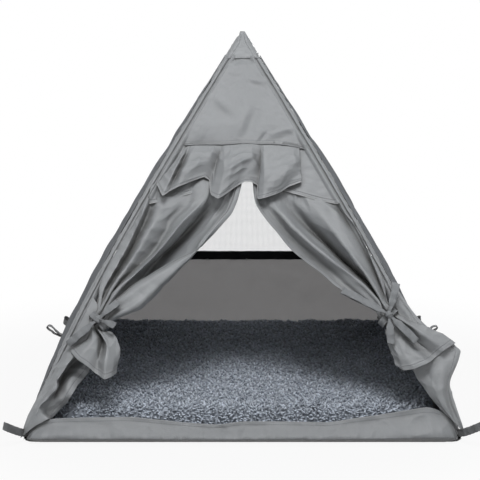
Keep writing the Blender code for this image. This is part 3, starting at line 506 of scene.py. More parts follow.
THREADS = (0.00062, 0.00062)
looks = {
    "cloth": fabric("grey_polyester", "grey_cloth", "989B9E", THREADS, 0.42, 0.12, 0.55, through=0.10),
    "wall": fabric("grey_polyester_wall", "grey_cloth", "909397", THREADS, 0.5, 0.0, 0.0, through=0.10),
    # A darker copy of the grey cloth for the sill: painted shade on the low front band
    "sill": fabric("grey_polyester_sill_painted_shade", "grey_cloth", "8D9093", THREADS, 0.42, 0.12, 0.55,
                   through=0.10),
    "thin": fabric("grey_polyester_thin", "grey_cloth", "A3A4A6", THREADS, 0.45, 0.10, through=0.50,
                   glow="CAC9C9"),
    "ribbon": fabric("ribbon_grosgrain", "ribbon", "85888B", (0.0030, 0.0009), 0.55, 0.15, depth=0.00012),
    "webbing": fabric("webbing_ribbed", "webbing", "6E7072", (0.0022, 0.0011), 0.7, 0.2, depth=0.0002),
    "tape": fabric("black_binding", "black_tape", "1F1F21", (0.0008, 0.0008), 0.75, 0.1, twill=1.0),
    "net": fabric("mesh_strands", "window_net", "EEF0F2", (0.0006, 0.0006), 0.5, 0.0, through=0.5,
                  glow="F2F4F6"),
    # A lighter copy of the grey cloth for the hems' rolled edges: a painted highlight
    "edge": fabric("grey_polyester_painted_highlight", "grey_cloth", "BEC0C2", (0.0008, 0.0008), 0.5, 0.1),
    "thread": fabric("sewing_thread", "grey_cloth", "6C6E72", (0.0005, 0.0005), 0.6, 0.1),
    "plush": plush_look("plush_fibres", "62676F", "D3DCE9"),
    "pole": solid_look("fibreglass_rod", "fibreglass", "DDDCD4", 0.4, grain=0.002, stretch=(1, 1, 0.05)),
    "steel": solid_look("steel_ferrule", "steel", "B4B5B6", 0.3, 1.0, grain=0.001, stretch=(1, 1, 0.1)),
    "rubber": solid_look("rubber_foot", "rubber", "2A2A2A", 0.8),
    "hub": solid_look("hub_plastic", "hub_plastic", "35363A", 0.5, grain=0.001),
    "filling": solid_look("polyester_filling", "filling", "E8E8E6", 0.9, grain=0.003, spread=0.05),
}


def seen_ray(tree):
    """1 for a ray that the camera, a reflection or a view through something sees by, otherwise 0."""
    path = node(tree, "LightPath", {}).outputs
    seen = calc(tree, "MAXIMUM", path["Is Camera Ray"], path["Is Glossy Ray"])
    return calc(tree, "MAXIMUM", seen, path["Is Transmission Ray"])


WORLD_LIGHT = 0.10
LAMP_AIM = (0, 0, 0.25)
LAMPS = [
    # Name, place, size and power
    ("key_lamp", (0.02, -1.30, 2.9), 1.2, 64),
    ("front_lamp", (0.2, -3.3, 1.4), 2.0, 9),
    ("right_lamp", (2.0, -1.9, 1.5), 0.9, 5),
    ("left_lamp", (-2.0, -1.9, 1.5), 0.9, 7),
    ("back_lamp", (0.4, 3.1, 1.0), 1.5, 60),
]
STUDIO_HALF = 14.0
STUDIO_DROP = -0.0004
SHADOW_REACH = {"From Min": 0.36, "From Max": 0.80, "To Min": 0.91, "To Max": 1.0}


def add_camera():
    """The camera at the photograph's place and angle."""
    data = bpy.data.cameras.new("camera")
    data.sensor_width = SENSOR
    data.lens = FOCAL_PIXELS * SENSOR / FRAME_PIXELS
    data.shift_x = (FRAME_PIXELS / 2 - CENTRE_PIXEL[0]) / FRAME_PIXELS
    data.clip_end = 50
    camera = bpy.data.objects.new("camera", data)
    camera.location = CAMERA_PLACE
    camera.rotation_euler = (math.pi / 2 - CAMERA_TILT, 0, 0)
    bpy.context.scene.collection.objects.link(camera)
    bpy.context.scene.camera = camera


def add_studio_floor():
    """A plain pale floor that shows as white, apart from the object's soft shadow near it."""
    floor_look = bpy.data.materials.new("studio_floor")
    floor_look.use_nodes = True
    tree = floor_look.node_tree
    shader = tree.nodes["Principled BSDF"]
    fill(tree, shader, {"Base Color": (0.50, 0.50, 0.50, 1), "Roughness": 0.9, "Specular IOR Level": 0.0})
    away = node(tree, "VectorMath", {0: place_of(tree, False)}, operation="LENGTH").outputs["Value"]
    inputs = {"Value": away, **SHADOW_REACH}
    white_share = node(tree, "MapRange", inputs, interpolation_type="SMOOTHSTEP").outputs[0]
    white = node(tree, "Emission", {"Color": (1, 1, 1, 1), "Strength": 1.0}).outputs[0]
    surface(tree, calc(tree, "MULTIPLY", white_share, seen_ray(tree)), shader, white)
    turns = ((-1, -1), (1, -1), (1, 1), (-1, 1))
    corners = [(x * STUDIO_HALF, y * STUDIO_HALF, STUDIO_DROP) for x, y in turns]
    floor = add_mesh("studio_floor", corners, [(0, 1, 2, 3)], floor_look, smooth=False)


def add_lights():
    """A white world that gives little light itself, and soft lamps."""
    world = bpy.data.worlds.new("studio")
    bpy.context.scene.world = world
    world.use_nodes = True
    tree = world.node_tree
    strength = spread_over(tree, seen_ray(tree), WORLD_LIGHT, 1.0)
    fill(tree, tree.nodes["Background"], {"Strength": strength, "Color": (1, 1, 1, 1)})
    for name, place, size, power in LAMPS:
        light = bpy.data.lights.new(name, "AREA")
        light.size = size
        light.energy = power
        lamp = bpy.data.objects.new(name, light)
        lamp.location = place
        towards = Vector(LAMP_AIM) - Vector(place)
        lamp.rotation_euler = towards.to_track_quat("-Z", "Y").to_euler()
        bpy.context.scene.collection.objects.link(lamp)
    bpy.context.scene.view_settings.view_transform = "Standard"


add_camera()
add_studio_floor()
add_lights()


def near_line(grid, line):
    """Each grid point's distance to a smooth line of points, and how far along the line it is nearest."""
    points = smooth_line(line, 40) if len(line) > 2 else np.asarray(line, float)
    best = np.full(grid.shape[:2], 1e9)
    share = np.zeros(grid.shape[:2])
    for i in range(len(points) - 1):
        a, b = points[i], points[i + 1]
        along = b - a
        t = np.clip(((grid - a) @ along) / (along @ along), 0, 1)
        gap = np.linalg.norm(grid - (a + t[..., None] * along), axis=2)
        closer = gap < best
        best = np.where(closer, gap, best)
        share = np.where(closer, (i + t) / (len(points) - 1), share)
    return best, share


def creased(grid, normals, line, width, height):
    """Raises, or with a height below 0 sinks, the cloth along a line, fading out at the line's ends."""
    gap, share = near_line(grid, line)
    fade = np.sin(np.pi * np.clip(share, 0.02, 0.98)) ** 0.5
    return grid + normals * (height * fade * np.exp(-((gap / width) ** 2)))[..., None]


def puckers(distance, run, seed, depth, pitch=0.013, reach=0.022):
    """Short wrinkles that leave a seam at right angles and fade with distance from it."""
    draw = np.random.default_rng(seed)
    total = 0.0
    for _ in range(5):
        pace = math.tau / (pitch * draw.uniform(0.7, 1.9))
        place = run + distance * draw.uniform(-0.5, 0.5)
        total = total + np.sin(pace * place + draw.uniform(0, math.tau))
    return depth * total / 2.2 * np.exp(-distance / reach)


def front_line(pixels, out):
    """Points seen at pixels, all at the same distance out from the front face."""
    return np.array([on_front(x, y, out) for x, y in pixels])


def creased_by(grid, normals, creases, out):
    """Puts in each crease of a table that gives its pixels, half width and height."""
    for pixels, width, height in creases:
        grid = creased(grid, normals, front_line(pixels, out), width, height)
    return grid


def hem_step(distance, width, height):
    """The height of a turned hem: a thicker band along the edge, drawn in at its stitch line."""
    band = 1 - ease((distance - width) / 0.0012)
    groove = np.exp(-(((distance - width + HEM_STITCH_IN) / 0.0008) ** 2))
    return height * band - height * 0.9 * groove


def crumpled(a, b, seed, depth, size):
    """Sharp little creases, as cloth keeps after it was folded away."""
    return depth * (0.55 - np.abs(ripples(a, np.asarray(b) * 0.8, size, seed, 9)))


def stitches(name, line, normals, body="tent", pitch=0.0032, look="thread"):
    """A row of stitches along a line on the cloth: short rounded bars with gaps between them."""
    run = run_along(line)
    count = max(2, int(run[-1] / pitch))
    points, faces = [], []
    ring = 6
    for k in range(count):
        ends = np.array([(k + 0.14) / count, (k + 0.5) / count, (k + 0.86) / count]) * run[-1]
        places = at_runs(line, run, ends)
        up = unit(at_runs(normals, run, ends[1]))
        along = unit(places[2] - places[0])
        side = np.cross(along, up)
        first = len(points)
        for place, fat in ((places[0], 0.45), (places[1], 1.0), (places[2], 0.45)):
            for j in range(ring):
                angle = math.tau * j / ring
                offset = side * math.cos(angle) + up * math.sin(angle) * 0.7
                points.append(place + offset * THREAD_WIDTH / 2 * fat)
        for section in range(2):
            for j in range(ring):
                a = first + section * ring + j
                b = first + section * ring + (j + 1) % ring
                faces.append((a, b, b + ring, a + ring))
        faces.append(tuple(first + j for j in reversed(range(ring))))
        faces.append(tuple(first + 2 * ring + j for j in range(ring)))
    made = add_mesh(name, points, faces, looks[look], np.zeros((len(points), 3)))
    placed(made, body)


def softened(grid, reach):
    """A grid whose folds across the rails are rounded over `reach` columns."""
    kernel = np.exp(-((np.arange(-2 * reach, 2 * reach + 1) / reach) ** 2))
    kernel = kernel / kernel.sum()
    before = 2 * grid[:, :1] - grid[:, 2 * reach : 0 : -1]
    after = 2 * grid[:, -1:] - grid[:, -2 : -2 * reach - 2 : -1]
    wide = np.concatenate((before, grid, after), axis=1)
    columns = grid.shape[1]
    return sum(weight * wide[:, k : k + columns] for k, weight in enumerate(kernel))


def pleated(rails, rows, per_rail, reach, straight=False):
    """A grid with a fold at each rail and a flatter stretch of cloth between one rail and the next."""
    lines = []
    for line in rails:
        lines.append(even_steps(line, rows) if straight else smooth_line(line, rows))
    lines = np.array(lines)
    places = np.linspace(0, len(rails) - 1, per_rail * (len(rails) - 1) + 1)
    low = np.minimum(places.astype(int), len(rails) - 2)
    share = (places - low)[:, None, None]
    grid = (lines[low] * (1 - share) + lines[low + 1] * share).transpose(1, 0, 2)
    grid = softened(grid, reach)
    if straight:
        grid = softened(grid.transpose(1, 0, 2), 2).transpose(1, 0, 2)
    return grid


def hem_cord(name, line, normals, body, radius=0.00055):
    """The rolled edge of a hem, in a lighter copy of the cloth that paints a highlight on it, so it
    stands out as a thin bright line.
    """
    along = unit(np.gradient(line, axis=0))
    side = unit(np.cross(along, normals))
    ring = 8
    turn = np.linspace(0, math.tau, ring, endpoint=False)
    circle = np.cos(turn)[:, None] * side[:, None] + np.sin(turn)[:, None] * normals[:, None]
    tube = line[:, None] + radius * circle
    flat = np.zeros((len(line) * ring, 3))
    placed(add_mesh(name, tube, tube_faces(len(line), ring), looks["edge"], flat), body)


# Tent shell
def floor_sheet():
    """The floor: a thin, slightly wavy sheet with rounded corners and an edge raised like a fold."""
    corner = 0.014
    outline = []
    for quarter, (sx, sy) in enumerate(((1, 1), (-1, 1), (-1, -1), (1, -1))):
        for i in range(9):
            angle = math.pi / 2 * (quarter + i / 8)
            centre = (sx * (BASE / 2 - corner), sy * (BASE / 2 - corner))
            outline.append((centre[0] + corner * math.cos(angle), centre[1] + corner * math.sin(angle)))
    outline = np.array(outline + outline[:1])
    rows = []
    for reach in (0.0, 0.3, 0.6, 0.8, 0.9, 0.95, 0.968, 0.974, 0.985, 0.995, 1.0):
        ring = even_steps(np.column_stack((outline, np.zeros(len(outline)))), 281) * reach
        ring[:, 2] = 0.0008 + (0.0005 if reach > 0.97 else 0.0)
        ring[:, 2] += 0.00025 * ripples(ring[:, 0], ring[:, 1], 0.05, 3)
        rows.append(ring)
    grid = np.array(rows)
    made = cloth("floor_cloth", grid[:, :-1], looks["cloth"], 0.0008, wrap=True, node_name="floor_sheet")


def wall_swell(share, z):
    """How much of its billow a side wall has, at a share of its half width and a height."""
    up = np.clip((z - WALL_LOW) / (WALL_HIGH - WALL_LOW), 0, 1) ** (1 / 1.3)
    return np.cos(np.pi / 2 * np.abs(share)) ** 0.8 * np.sin(np.pi * up**0.45)


RAISED = 0.0020


def wall_grid(face, billow, seed):
    """A side wall's billowed sheet, with slow waves and puckers along its seams."""
    low, high = FLOOR_TOP, PANEL_TOP
    share, up = np.meshgrid(np.linspace(-1, 1, 210), np.linspace(0, 1, 190))
    z = low + (high - low) * up
    limit = seam_limit(z)
    across = limit * share
    inner = np.clip(np.abs(across) / panel_limit(z), 0, 1)
    swell = wall_swell(inner, z)
    away = np.maximum(panel_limit(z) * (1 - inner), 0)
    slow = 0.0021 * ripples(across, z * 0.7, 0.16, seed) + 0.0009 * ripples(across, z, 0.055, seed + 1)
    loose = ease(away / 0.03) * ease(up / 0.06) * ease((1 - up) / 0.06)
    seams = puckers(away, z, seed + 2, depth=0.0004) * np.where(across > 0, 1, -1)
    foot = puckers(z - low, across, seed + 3, depth=0.0006)
    out = PANEL_OUT + RAISED * ease((CAP_RIM - z) / 0.004) + billow * swell + slow * loose
    out = out + seams * ease(away / 0.002) + foot * ease(z / 0.01 - 0.2)
    return face.point(across, z, over_sleeve(out, across, z))


def wall_fold(grid, face, points, width, height):
    """A soft fold in a wall from one (across, height) place to another."""
    line = np.array([face.point(a, z, PANEL_OUT + 0.004) for a, z in points])
    return creased(grid, face.normal(grid[..., 2]), line, width, height)


WALL_FOLDS = {
    # A fold's two ends, each across and up, its half width and its height
    "left": [
        ((-0.20, 0.02), (-0.05, 0.11), 0.006, 0.0022),
        ((0.21, 0.03), (0.06, 0.16), 0.007, 0.0024),
        ((-0.02, 0.08), (0.02, 0.22), 0.006, -0.0018),
        ((0.10, 0.27), (0.01, 0.36), 0.006, 0.0016),
        ((-0.13, 0.17), (-0.03, 0.29), 0.006, -0.0016),
    ],
    "right": [
        ((-0.18, 0.03), (-0.04, 0.13), 0.007, 0.0023),
        ((0.22, 0.05), (0.09, 0.14), 0.006, 0.0020),
        ((0.03, 0.07), (-0.02, 0.20), 0.006, -0.0018),
        ((-0.10, 0.24), (0.0, 0.35), 0.006, 0.0016),
        ((0.12, 0.16), (0.04, 0.30), 0.006, -0.0015),
    ],
}


def side_walls():
    """The two side walls with their folds, their seams' stitches and the stitched hem at the foot."""
    for word, face, billow, seed in (("left", LEFT, LEFT_BILLOW, 11), ("right", RIGHT, RIGHT_BILLOW, 23)):
        grid = wall_grid(face, billow, seed)
        for start, end, width, height in WALL_FOLDS[word]:
            grid = wall_fold(grid, face, (start, end), width, height)
        name = f"{word}_wall"
        made = cloth(f"{name}_cloth", grid, looks["wall"], node_name=name)
        seam_stitches(f"{name}_stitches", face, FLOOR_TOP + 0.006, grid)
        hem_z = 0.012
        row = int(np.argmin(np.abs(grid[:, 0, 2] - hem_z)))
        line = grid[row, 4:-4] + face.normal(hem_z) * (CLOTH / 2)
        stitches(f"{name}_hem_stitches", line, np.repeat(face.normal(hem_z)[None], len(line), 0))


SEAM_STITCH_INSET = 0.0030


def seam_stitches(name, face, low, grid):
    """Topstitching beside both pole sleeves, on the outside of a face's cloth, from `low` to the cap."""
    z = np.linspace(low, CAP_RIM - 0.002, 120)
    normals = face.normal(z)
    points = grid.reshape(-1, 3)
    for side, word in ((-1, "a"), (1, "b")):
        places = face.point(side * (seam_limit(z) - SEAM_STITCH_INSET), z, PANEL_OUT)
        nearest = [int(np.argmin(((points - place) ** 2).sum(axis=1))) for place in places]
        height = ((points[nearest] - places) * normals).sum(axis=1)
        line = places + normals * (height + CLOTH / 2)[:, None]
        stitches(f"{name}_{word}", line, normals)


def pole_point(sx, sy, z):
    """Points of a corner pole's centre line at heights z."""
    half = pole_half(z)
    return np.stack((sx * half, sy * half, np.broadcast_to(z, np.shape(half))), axis=-1)


def sleeve_grid(sx, sy, seed):
    """A cloth tube round a pole. It is drawn in along its two seams and wrinkles round the pole."""
    rows, around = 230, 72
    pole_length = 0.66
    z = np.linspace(FLOOR_TOP + SLEEVE_RADIUS * 0.62, CAP_RIM + 0.002, rows)
    centre = pole_point(sx, sy, z)
    along = unit(np.gradient(centre, axis=0))
    corner = np.array((sx, sy, 0.0)) / math.sqrt(2)
    side = unit(np.cross(np.broadcast_to(corner, along.shape), along))
    ahead = np.cross(along, side)
    turn = np.linspace(0, math.tau, around, endpoint=False)
    run, angle = np.meshgrid(np.linspace(0, pole_length, rows), turn, indexing="ij")
    girth = angle * SLEEVE_RADIUS
    twist = ripples(girth * 1.6 + run * 0.5, run * 1.4, 0.022, seed) * 0.00035
    slow = ripples(girth * 0.6, run, 0.07, seed + 1) * 0.00045
    radius = SLEEVE_RADIUS - 0.0005 + twist + slow
    facing = np.cos(angle)
    seam_depth, seam_width, flatter_inside = 0.0024, 0.15, 0.05
    for seam_angle in (math.radians(40), math.radians(-40)):
        off = np.angle(np.exp(1j * (angle - seam_angle)))
        radius = radius - seam_depth * np.exp(-((off / seam_width) ** 2))
    radius = radius * (1 - flatter_inside * np.clip(-facing, 0, 1))
    round_pole = facing[..., None] * ahead[:, None] + np.sin(angle)[..., None] * side[:, None]
    return centre[:, None] + radius[..., None] * round_pole


def sleeves():
    """The four cloth tubes round the poles."""
    for k, (corner, (sx, sy)) in enumerate(CORNERS.items()):
        name = f"pole_sleeve_{corner}"
        grid = sleeve_grid(sx, sy, 31 + 7 * k)
        made = cloth(f"{name}_cloth", grid, looks["cloth"], wrap=True, node_name=name)


def cap():
    """The closed point over the hub: the faces and the sleeves run on up to a blunt tip."""
    around, quarter = 240, 60
    rows = []
    for up in np.linspace(0, 1, 56):
        z = CAP_RIM + (HEIGHT - 0.0006 - CAP_RIM) * up
        half = float(edge(z)) - 0.0002
        round_corner = min(SLEEVE_RADIUS, 0.62 * half)
        seam = max(half - 0.0092, 0.30 * half)
        ring = []
        for k in range(around):
            side, share = divmod(k, quarter)
            x = half * (2 * share / quarter - 1)
            far = max(0.0, abs(x) - (half - round_corner))
            turn = far / round_corner * math.pi / 4
            out = half - round_corner * (1 - math.cos(turn))
            across = math.copysign(half - round_corner + round_corner * math.sin(turn), x) if far else x
            # The faces lie lower than the sleeves, with a groove at each seam and a drawn-in rim
            inside = min(1.0, max(0.0, (seam - abs(x)) / 0.004))
            out -= 0.0004 * inside**2 * (3 - 2 * inside)
            out -= 0.0009 * math.exp(-(((abs(x) - seam) / 0.0010) ** 2)) * min(1.0, (1 - up) * 5)
            out -= 0.0007 * math.exp(-(up / 0.03) ** 2)
            for _ in range(side):
                across, out = -out, across
            ring.append((across, -out, z))
        rows.append(ring)
    grid = np.array(rows)
    angle = np.arctan2(grid[..., 1], grid[..., 0])
    wave = 0.0003 * ripples(angle * 0.02, grid[..., 2] * 1.5, 0.014, 91)
    wave = wave * ease((HEIGHT - grid[..., 2]) / 0.02)
    outward = unit(grid * np.array((1, 1, 0)))
    grid = grid + outward * (wave - 0.0004)[..., None]
    notch = np.exp(-(((grid[..., 2] - HEIGHT + 0.006) / 0.0022) ** 2))
    notch = notch * ease((-grid[..., 0] - 0.001) / 0.004)
    grid[..., 0] += 0.0016 * notch
    grid[-1, :, 2] += 0.0006 * np.cos(2 * angle[-1] + 0.6)
    # The blunt tip is closed by two more rings, the last of them a single point
    tip = np.repeat(grid[-1].mean(axis=0)[None, None], around, axis=1) - np.array((0.0007, 0, 0.0022))
    grid = np.concatenate((grid, 0.5 * (grid[-1:] + tip) - np.array((0, 0, 0.0004)), tip), axis=0)
    made = cloth("apex_cap_cloth", grid[:, ::-1], looks["cloth"], wrap=True, node_name="apex_cap")
    rim = np.concatenate((grid[3], grid[3, :1]))
    outward = unit(rim * np.array((1, 1, 0)) + np.array((0, 0, 0.02)))
    stitches("apex_cap_stitches", rim + outward * CLOTH / 2, outward)


GABLE_SIDE_HEIGHT = 0.308
GABLE_ARCH = 0.040
SEAM_HEIGHT = 0.387


def gable_edge(share):
    """Height of the gable's arched lower edge, for a share of the panel's half width."""
    return GABLE_SIDE_HEIGHT + GABLE_ARCH * (1 - np.clip(np.abs(share), 0, 1)) ** 1.2


GABLE_FOLDS = [
    # Wrinkles in the gable: pixels, half width and height
    ([(209, 104), (216, 106.5), (223, 113), (233, 119.5)], 0.0080, -0.0024),
    ([(212, 98), (222, 104), (234, 112)], 0.0085, 0.0016),
    ([(247, 83), (256, 85), (267, 87)], 0.0045, -0.0012),
    ([(248, 79), (258, 81), (268, 82)], 0.0040, 0.0012),
    ([(258, 108), (251, 123), (241, 141)], 0.0095, -0.0026),
    ([(249, 106), (243, 122), (236, 140)], 0.0085, 0.0020),
    ([(258, 142), (262, 138), (267, 132)], 0.0028, -0.0018),
    ([(268, 141), (280, 138), (294, 133)], 0.0055, -0.0018),
    ([(272, 134), (282, 131), (291, 129)], 0.0035, 0.0016),
    ([(197, 141), (204, 130), (210, 120)], 0.0050, 0.0014),
    ([(228, 74), (236, 77), (243, 76)], 0.0035, -0.0009),
]


def gable():
    """The front's upper panel. Its lower edge is arched, with a double hem."""
    share, up = np.meshgrid(np.linspace(-1, 1, 230), np.linspace(0, 1, 200))
    foot = gable_edge(share)
    z = foot + (PANEL_TOP - foot) * up
    across = seam_limit(z) * share
    away = np.maximum(panel_limit(z) - np.abs(across), 0)
    swell = np.cos(np.pi / 2 * share) * np.sin(np.pi * up)
    below = (z - foot) * 1.1
    raised = 0.0008 + 0.0028 * ease((CAP_RIM - z) / 0.010)
    raised = raised * ease((z - SEAM_HEIGHT - 0.001) / 0.030)
    out = PANEL_OUT + raised + 0.0016 * swell
    out = out + ease(away / 0.012) * 0.0006 * ripples(across, z, 0.05, 5)
    out = out + puckers(away, z, 7, depth=0.0004, reach=0.014) * ease(away / 0.002)
    out = out + hem_step(below, 0.006, 0.0007) + 0.0006 * np.exp(-(((below - 0.0022) / 0.0011) ** 2))
    grid = FRONT.point(across, z, over_sleeve(out, across, z))
    normals = FRONT.normal(grid[..., 2])
    grid = creased_by(grid, normals, GABLE_FOLDS, 0.0)
    made = cloth("front_gable_cloth", grid, looks["cloth"], node_name="front_gable")
    seam_stitches("front_gable_stitches", FRONT, GABLE_SIDE_HEIGHT + 0.012, grid)
    row = int(np.argmin(np.abs(below[:, 115] - 0.0048)))
    line = grid[row, 3:-3]
    normals = FRONT.normal(line[:, 2])
    stitches("front_gable_hem_stitches", line + normals * CLOTH, normals)
    hem_cord("front_gable_hem_edge", grid[0, 3:-3], FRONT.normal(grid[0, 3:-3, 2]), "tent", 0.0007)


SILL_FOOT = 0.0006
SILL_PAST_POLE = 0.0028
SILL_TOP = [(18, 430), (34, 423), (50.5, 418.5), (90, 417.5), (130, 417), (184, 422.5), (217.5, 425),
            (240, 421.5), (285, 421.5), (330, 422.5), (358.5, 418), (378, 415.5), (406.5, 411),
            (436, 406.5), (452, 414), (470, 432)]
SILL_CREASES = [
    ([(217, 425), (228, 434), (240, 445)], 0.0045, -0.0022),
    ([(208, 425), (216, 433), (224, 444)], 0.0050, 0.0016),
    ([(90, 421), (128, 424), (170, 430)], 0.0050, 0.0012),
    ([(262, 426), (310, 430), (352, 424)], 0.0055, 0.0012),
    ([(372, 420), (388, 430), (400, 442)], 0.0045, -0.0012),
    ([(140, 419), (150, 430), (163, 443)], 0.0045, -0.0010),
]


def sill():
    """The front's low band: cloth folded over at the top edge, soft, and a little slack."""
    top_line = front_line(SILL_TOP, PANEL_OUT + 0.004)
    columns, rows, back_rows = 350, 48, 12
    share = np.linspace(-1, 1, columns)
    grid = np.zeros((rows + back_rows, columns, 3))
    roll = 0.0016
    reach = pole_half(0.02) + SILL_PAST_POLE
    top = np.interp(share * reach, top_line[:, 0], top_line[:, 2])
    smooth = np.exp(-((np.arange(-14, 15) / 6.0) ** 2))
    top = np.convolve(np.pad(top, 14, mode="edge"), smooth / smooth.sum(), mode="valid")
    for r in range(rows):
        up = r / (rows - 1)
        inside = np.sqrt(np.clip(14 * (1 - np.abs(share)), 0, 1))
        foot = SILL_FOOT + 0.005 * (1 - inside)
        z = foot + (top - roll - foot) * up
        across = share * (pole_half(z) + SILL_PAST_POLE)
        foot_roll = 0.0112 * (0.55 + 0.45 * ease(up / 0.12)) * (1 - 0.80 * ease((up - 0.12) / 0.75))
        bulge = foot_roll * inside + 0.0012 * np.sin(np.pi * up**0.8) * inside
        wave = 0.0014 * ripples(across, z * 2.2, 0.09, 41) * ease(up * 3)
        wave = wave + crumpled(across, z, 42, 0.0012, 0.045)
        seam = puckers(z - SILL_FOOT, across, 43, pitch=0.010, depth=0.0007, reach=0.010)
        off = np.abs(pole_half(z) - np.abs(across)) * math.cos(EDGE_ANGLE)
        round_pole = -POLE_INSET + np.sqrt(np.maximum((SLEEVE_RADIUS + 0.0010) ** 2 - off**2, 0))
        out = PANEL_OUT + 0.0030 + bulge + (wave + seam) * inside
        past = ease((np.abs(across) - pole_half(z) + 0.003) / 0.004)
        out = np.maximum(out, round_pole) * (1 - past) + round_pole * past
        grid[r] = FRONT.point(across, z, out)
    for r in range(back_rows):
        angle = math.pi * min(1.0, (r + 1) / 6)
        lip = grid[rows - 1]
        inwards = FRONT.normal(lip[:, 2]) * roll * (1 - math.cos(angle)) * 0.8
        drop = 0.0026 * max(0, r - 5)
        grid[rows + r] = lip - inwards + UP * (roll * math.sin(angle) - drop)
    normals = FRONT.normal(grid[..., 2])
    grid = creased_by(grid, normals, SILL_CREASES, 0.0)
    # The sill's darker copy of the cloth paints shade on this low band
    made = cloth("front_sill_cloth", grid, looks["sill"], node_name="front_sill")
    for word, row in (("low", 6), ("top", rows - 6)):
        line = grid[row, 8:-8]
        normal = FRONT.normal(line[:, 2])
        stitches(f"front_sill_{word}_stitches", line + normal * STITCH_LIFT, normal)


WINDOW_LOW = 0.160
WINDOW_TOP = 0.400
WINDOW_MARGIN = 0.026
TAPE_WIDTH = 0.014


def window_half(z):
    """Half the window opening's width at height z."""
    return panel_limit(z) - WINDOW_MARGIN


def back_wall():
    """The back wall round the window opening, in one grid whose lines follow the opening's edges."""
    lows = np.linspace(FLOOR_TOP, WINDOW_LOW, 64)
    middles = np.linspace(WINDOW_LOW, WINDOW_TOP, 96)[1:]
    highs = np.linspace(WINDOW_TOP, PANEL_TOP, 46)[1:]
    heights = np.concatenate((lows, middles, highs))
    margin, inner = 34, 120
    columns = 2 * margin + inner + 1
    grid = np.zeros((len(heights), columns, 3))
    for r, z in enumerate(heights):
        half = float(panel_limit(z))
        opening = half - WINDOW_MARGIN - 0.001
        if z > WINDOW_TOP:
            opening = half * (1 - WINDOW_MARGIN / float(panel_limit(WINDOW_TOP)))
        side = np.linspace(opening, float(seam_limit(z)), margin + 1)
        across = np.concatenate((-side[::-1], np.linspace(-opening, opening, inner + 1)[1:-1], side))
        away = np.maximum(half - np.abs(across), 0)
        low = ease(z / 0.03) * ease((0.155 - z) / 0.03)
        wave = 0.0028 * ripples(across + z, z - across, 0.11, 61) * low
        wave = wave + 0.0006 * ripples(across, z, 0.04, 62)
        seam = puckers(away, z, 63, depth=0.0006)
        seam = seam + puckers(np.abs(z - WINDOW_LOW), across, 64, depth=0.0006)
        raised = RAISED * ease((away - 0.003) / 0.01) * ease((CAP_RIM - z) / 0.004)
        raised = raised * ease((WINDOW_LOW - 0.01 - z) / 0.01)
        out = PANEL_OUT + raised + (wave + seam) * ease(away / 0.003) * ease(z / 0.01 - 0.2)
        grid[r] = BACK.point(across, z, over_sleeve(out, across, np.full(columns, z)))
    hole_rows = (len(lows) - 1, len(lows) - 1 + len(middles))

    def keep(r, c):
        return not (hole_rows[0] <= r < hole_rows[1] and margin <= c < margin + inner)

    made = cloth("back_wall_cloth", grid, looks["thin"], keep=keep, node_name="back_wall")
    seam_stitches("back_wall_stitches", BACK, FLOOR_TOP + 0.006, grid)


def window_ring(inset, count):
    """Points round the window, so far in from the opening's edge, `count` on each side."""
    low = WINDOW_LOW + inset / math.sqrt(1 + float(run_out(WINDOW_LOW)) ** 2)
    high = WINDOW_TOP - inset / math.sqrt(1 + float(run_out(WINDOW_TOP)) ** 2)
    share = np.linspace(0, 1, count, endpoint=False)
    z = low + (high - low) * share
    half = window_half(z) - inset
    bottom = float(window_half(low)) - inset
    top = float(window_half(high)) - inset
    across = np.concatenate((-bottom + 2 * bottom * share, half, top - 2 * top * share, -half[::-1]))
    flipped = high - (high - low) * share
    half_down = window_half(flipped) - inset
    across[3 * count :] = -half_down
    heights = np.concatenate((np.full(count, low), z, np.full(count, high), flipped))
    return across, heights


# The binding's section from its outer to its inner edge: how far in it is, and how far off the wall
TAPE_SECTION = [(-0.0030, 0.0002), (-0.0026, 0.0009), (-0.0012, 0.0012), (0.002, 0.0012), (0.006, 0.0010),
                (0.010, 0.0012), (0.0128, 0.0012), (0.0138, 0.0009), (0.0140, 0.0003)]
NET_PITCH = 0.0021
NET_HALF_STRAND = 0.00017
NET_BEHIND_TAPE = 0.004
NET_UPRIGHT_SHARE = 0.87
NET_CROSSING = 0.00012


def window_tape():
    """The black binding round the opening, on both sides of the wall, with its two rows of stitches."""
    for word, facing in BOTH_FACES:
        rows = []
        for inset, lift in TAPE_SECTION:
            across, z = window_ring(inset, 90)
            wave = 0.00035 * ripples(across, z, 0.022, 71)
            rows.append(BACK.point(across, z, PANEL_OUT + facing * (lift + 0.0002) + wave))
        grid = np.array(rows)
        made = cloth(f"window_tape_{word}", grid if facing > 0 else grid[::-1], looks["tape"], wrap=True,
                     node_name="window_tape")
        for row, side in ((2, "a"), (7, "b")):
            line = closed(grid)[row]
            normal = BACK.normal(line[:, 2]) * facing
            stitches(f"window_tape_{word}_stitches_{side}", line + normal * 0.0003, normal, look="tape")


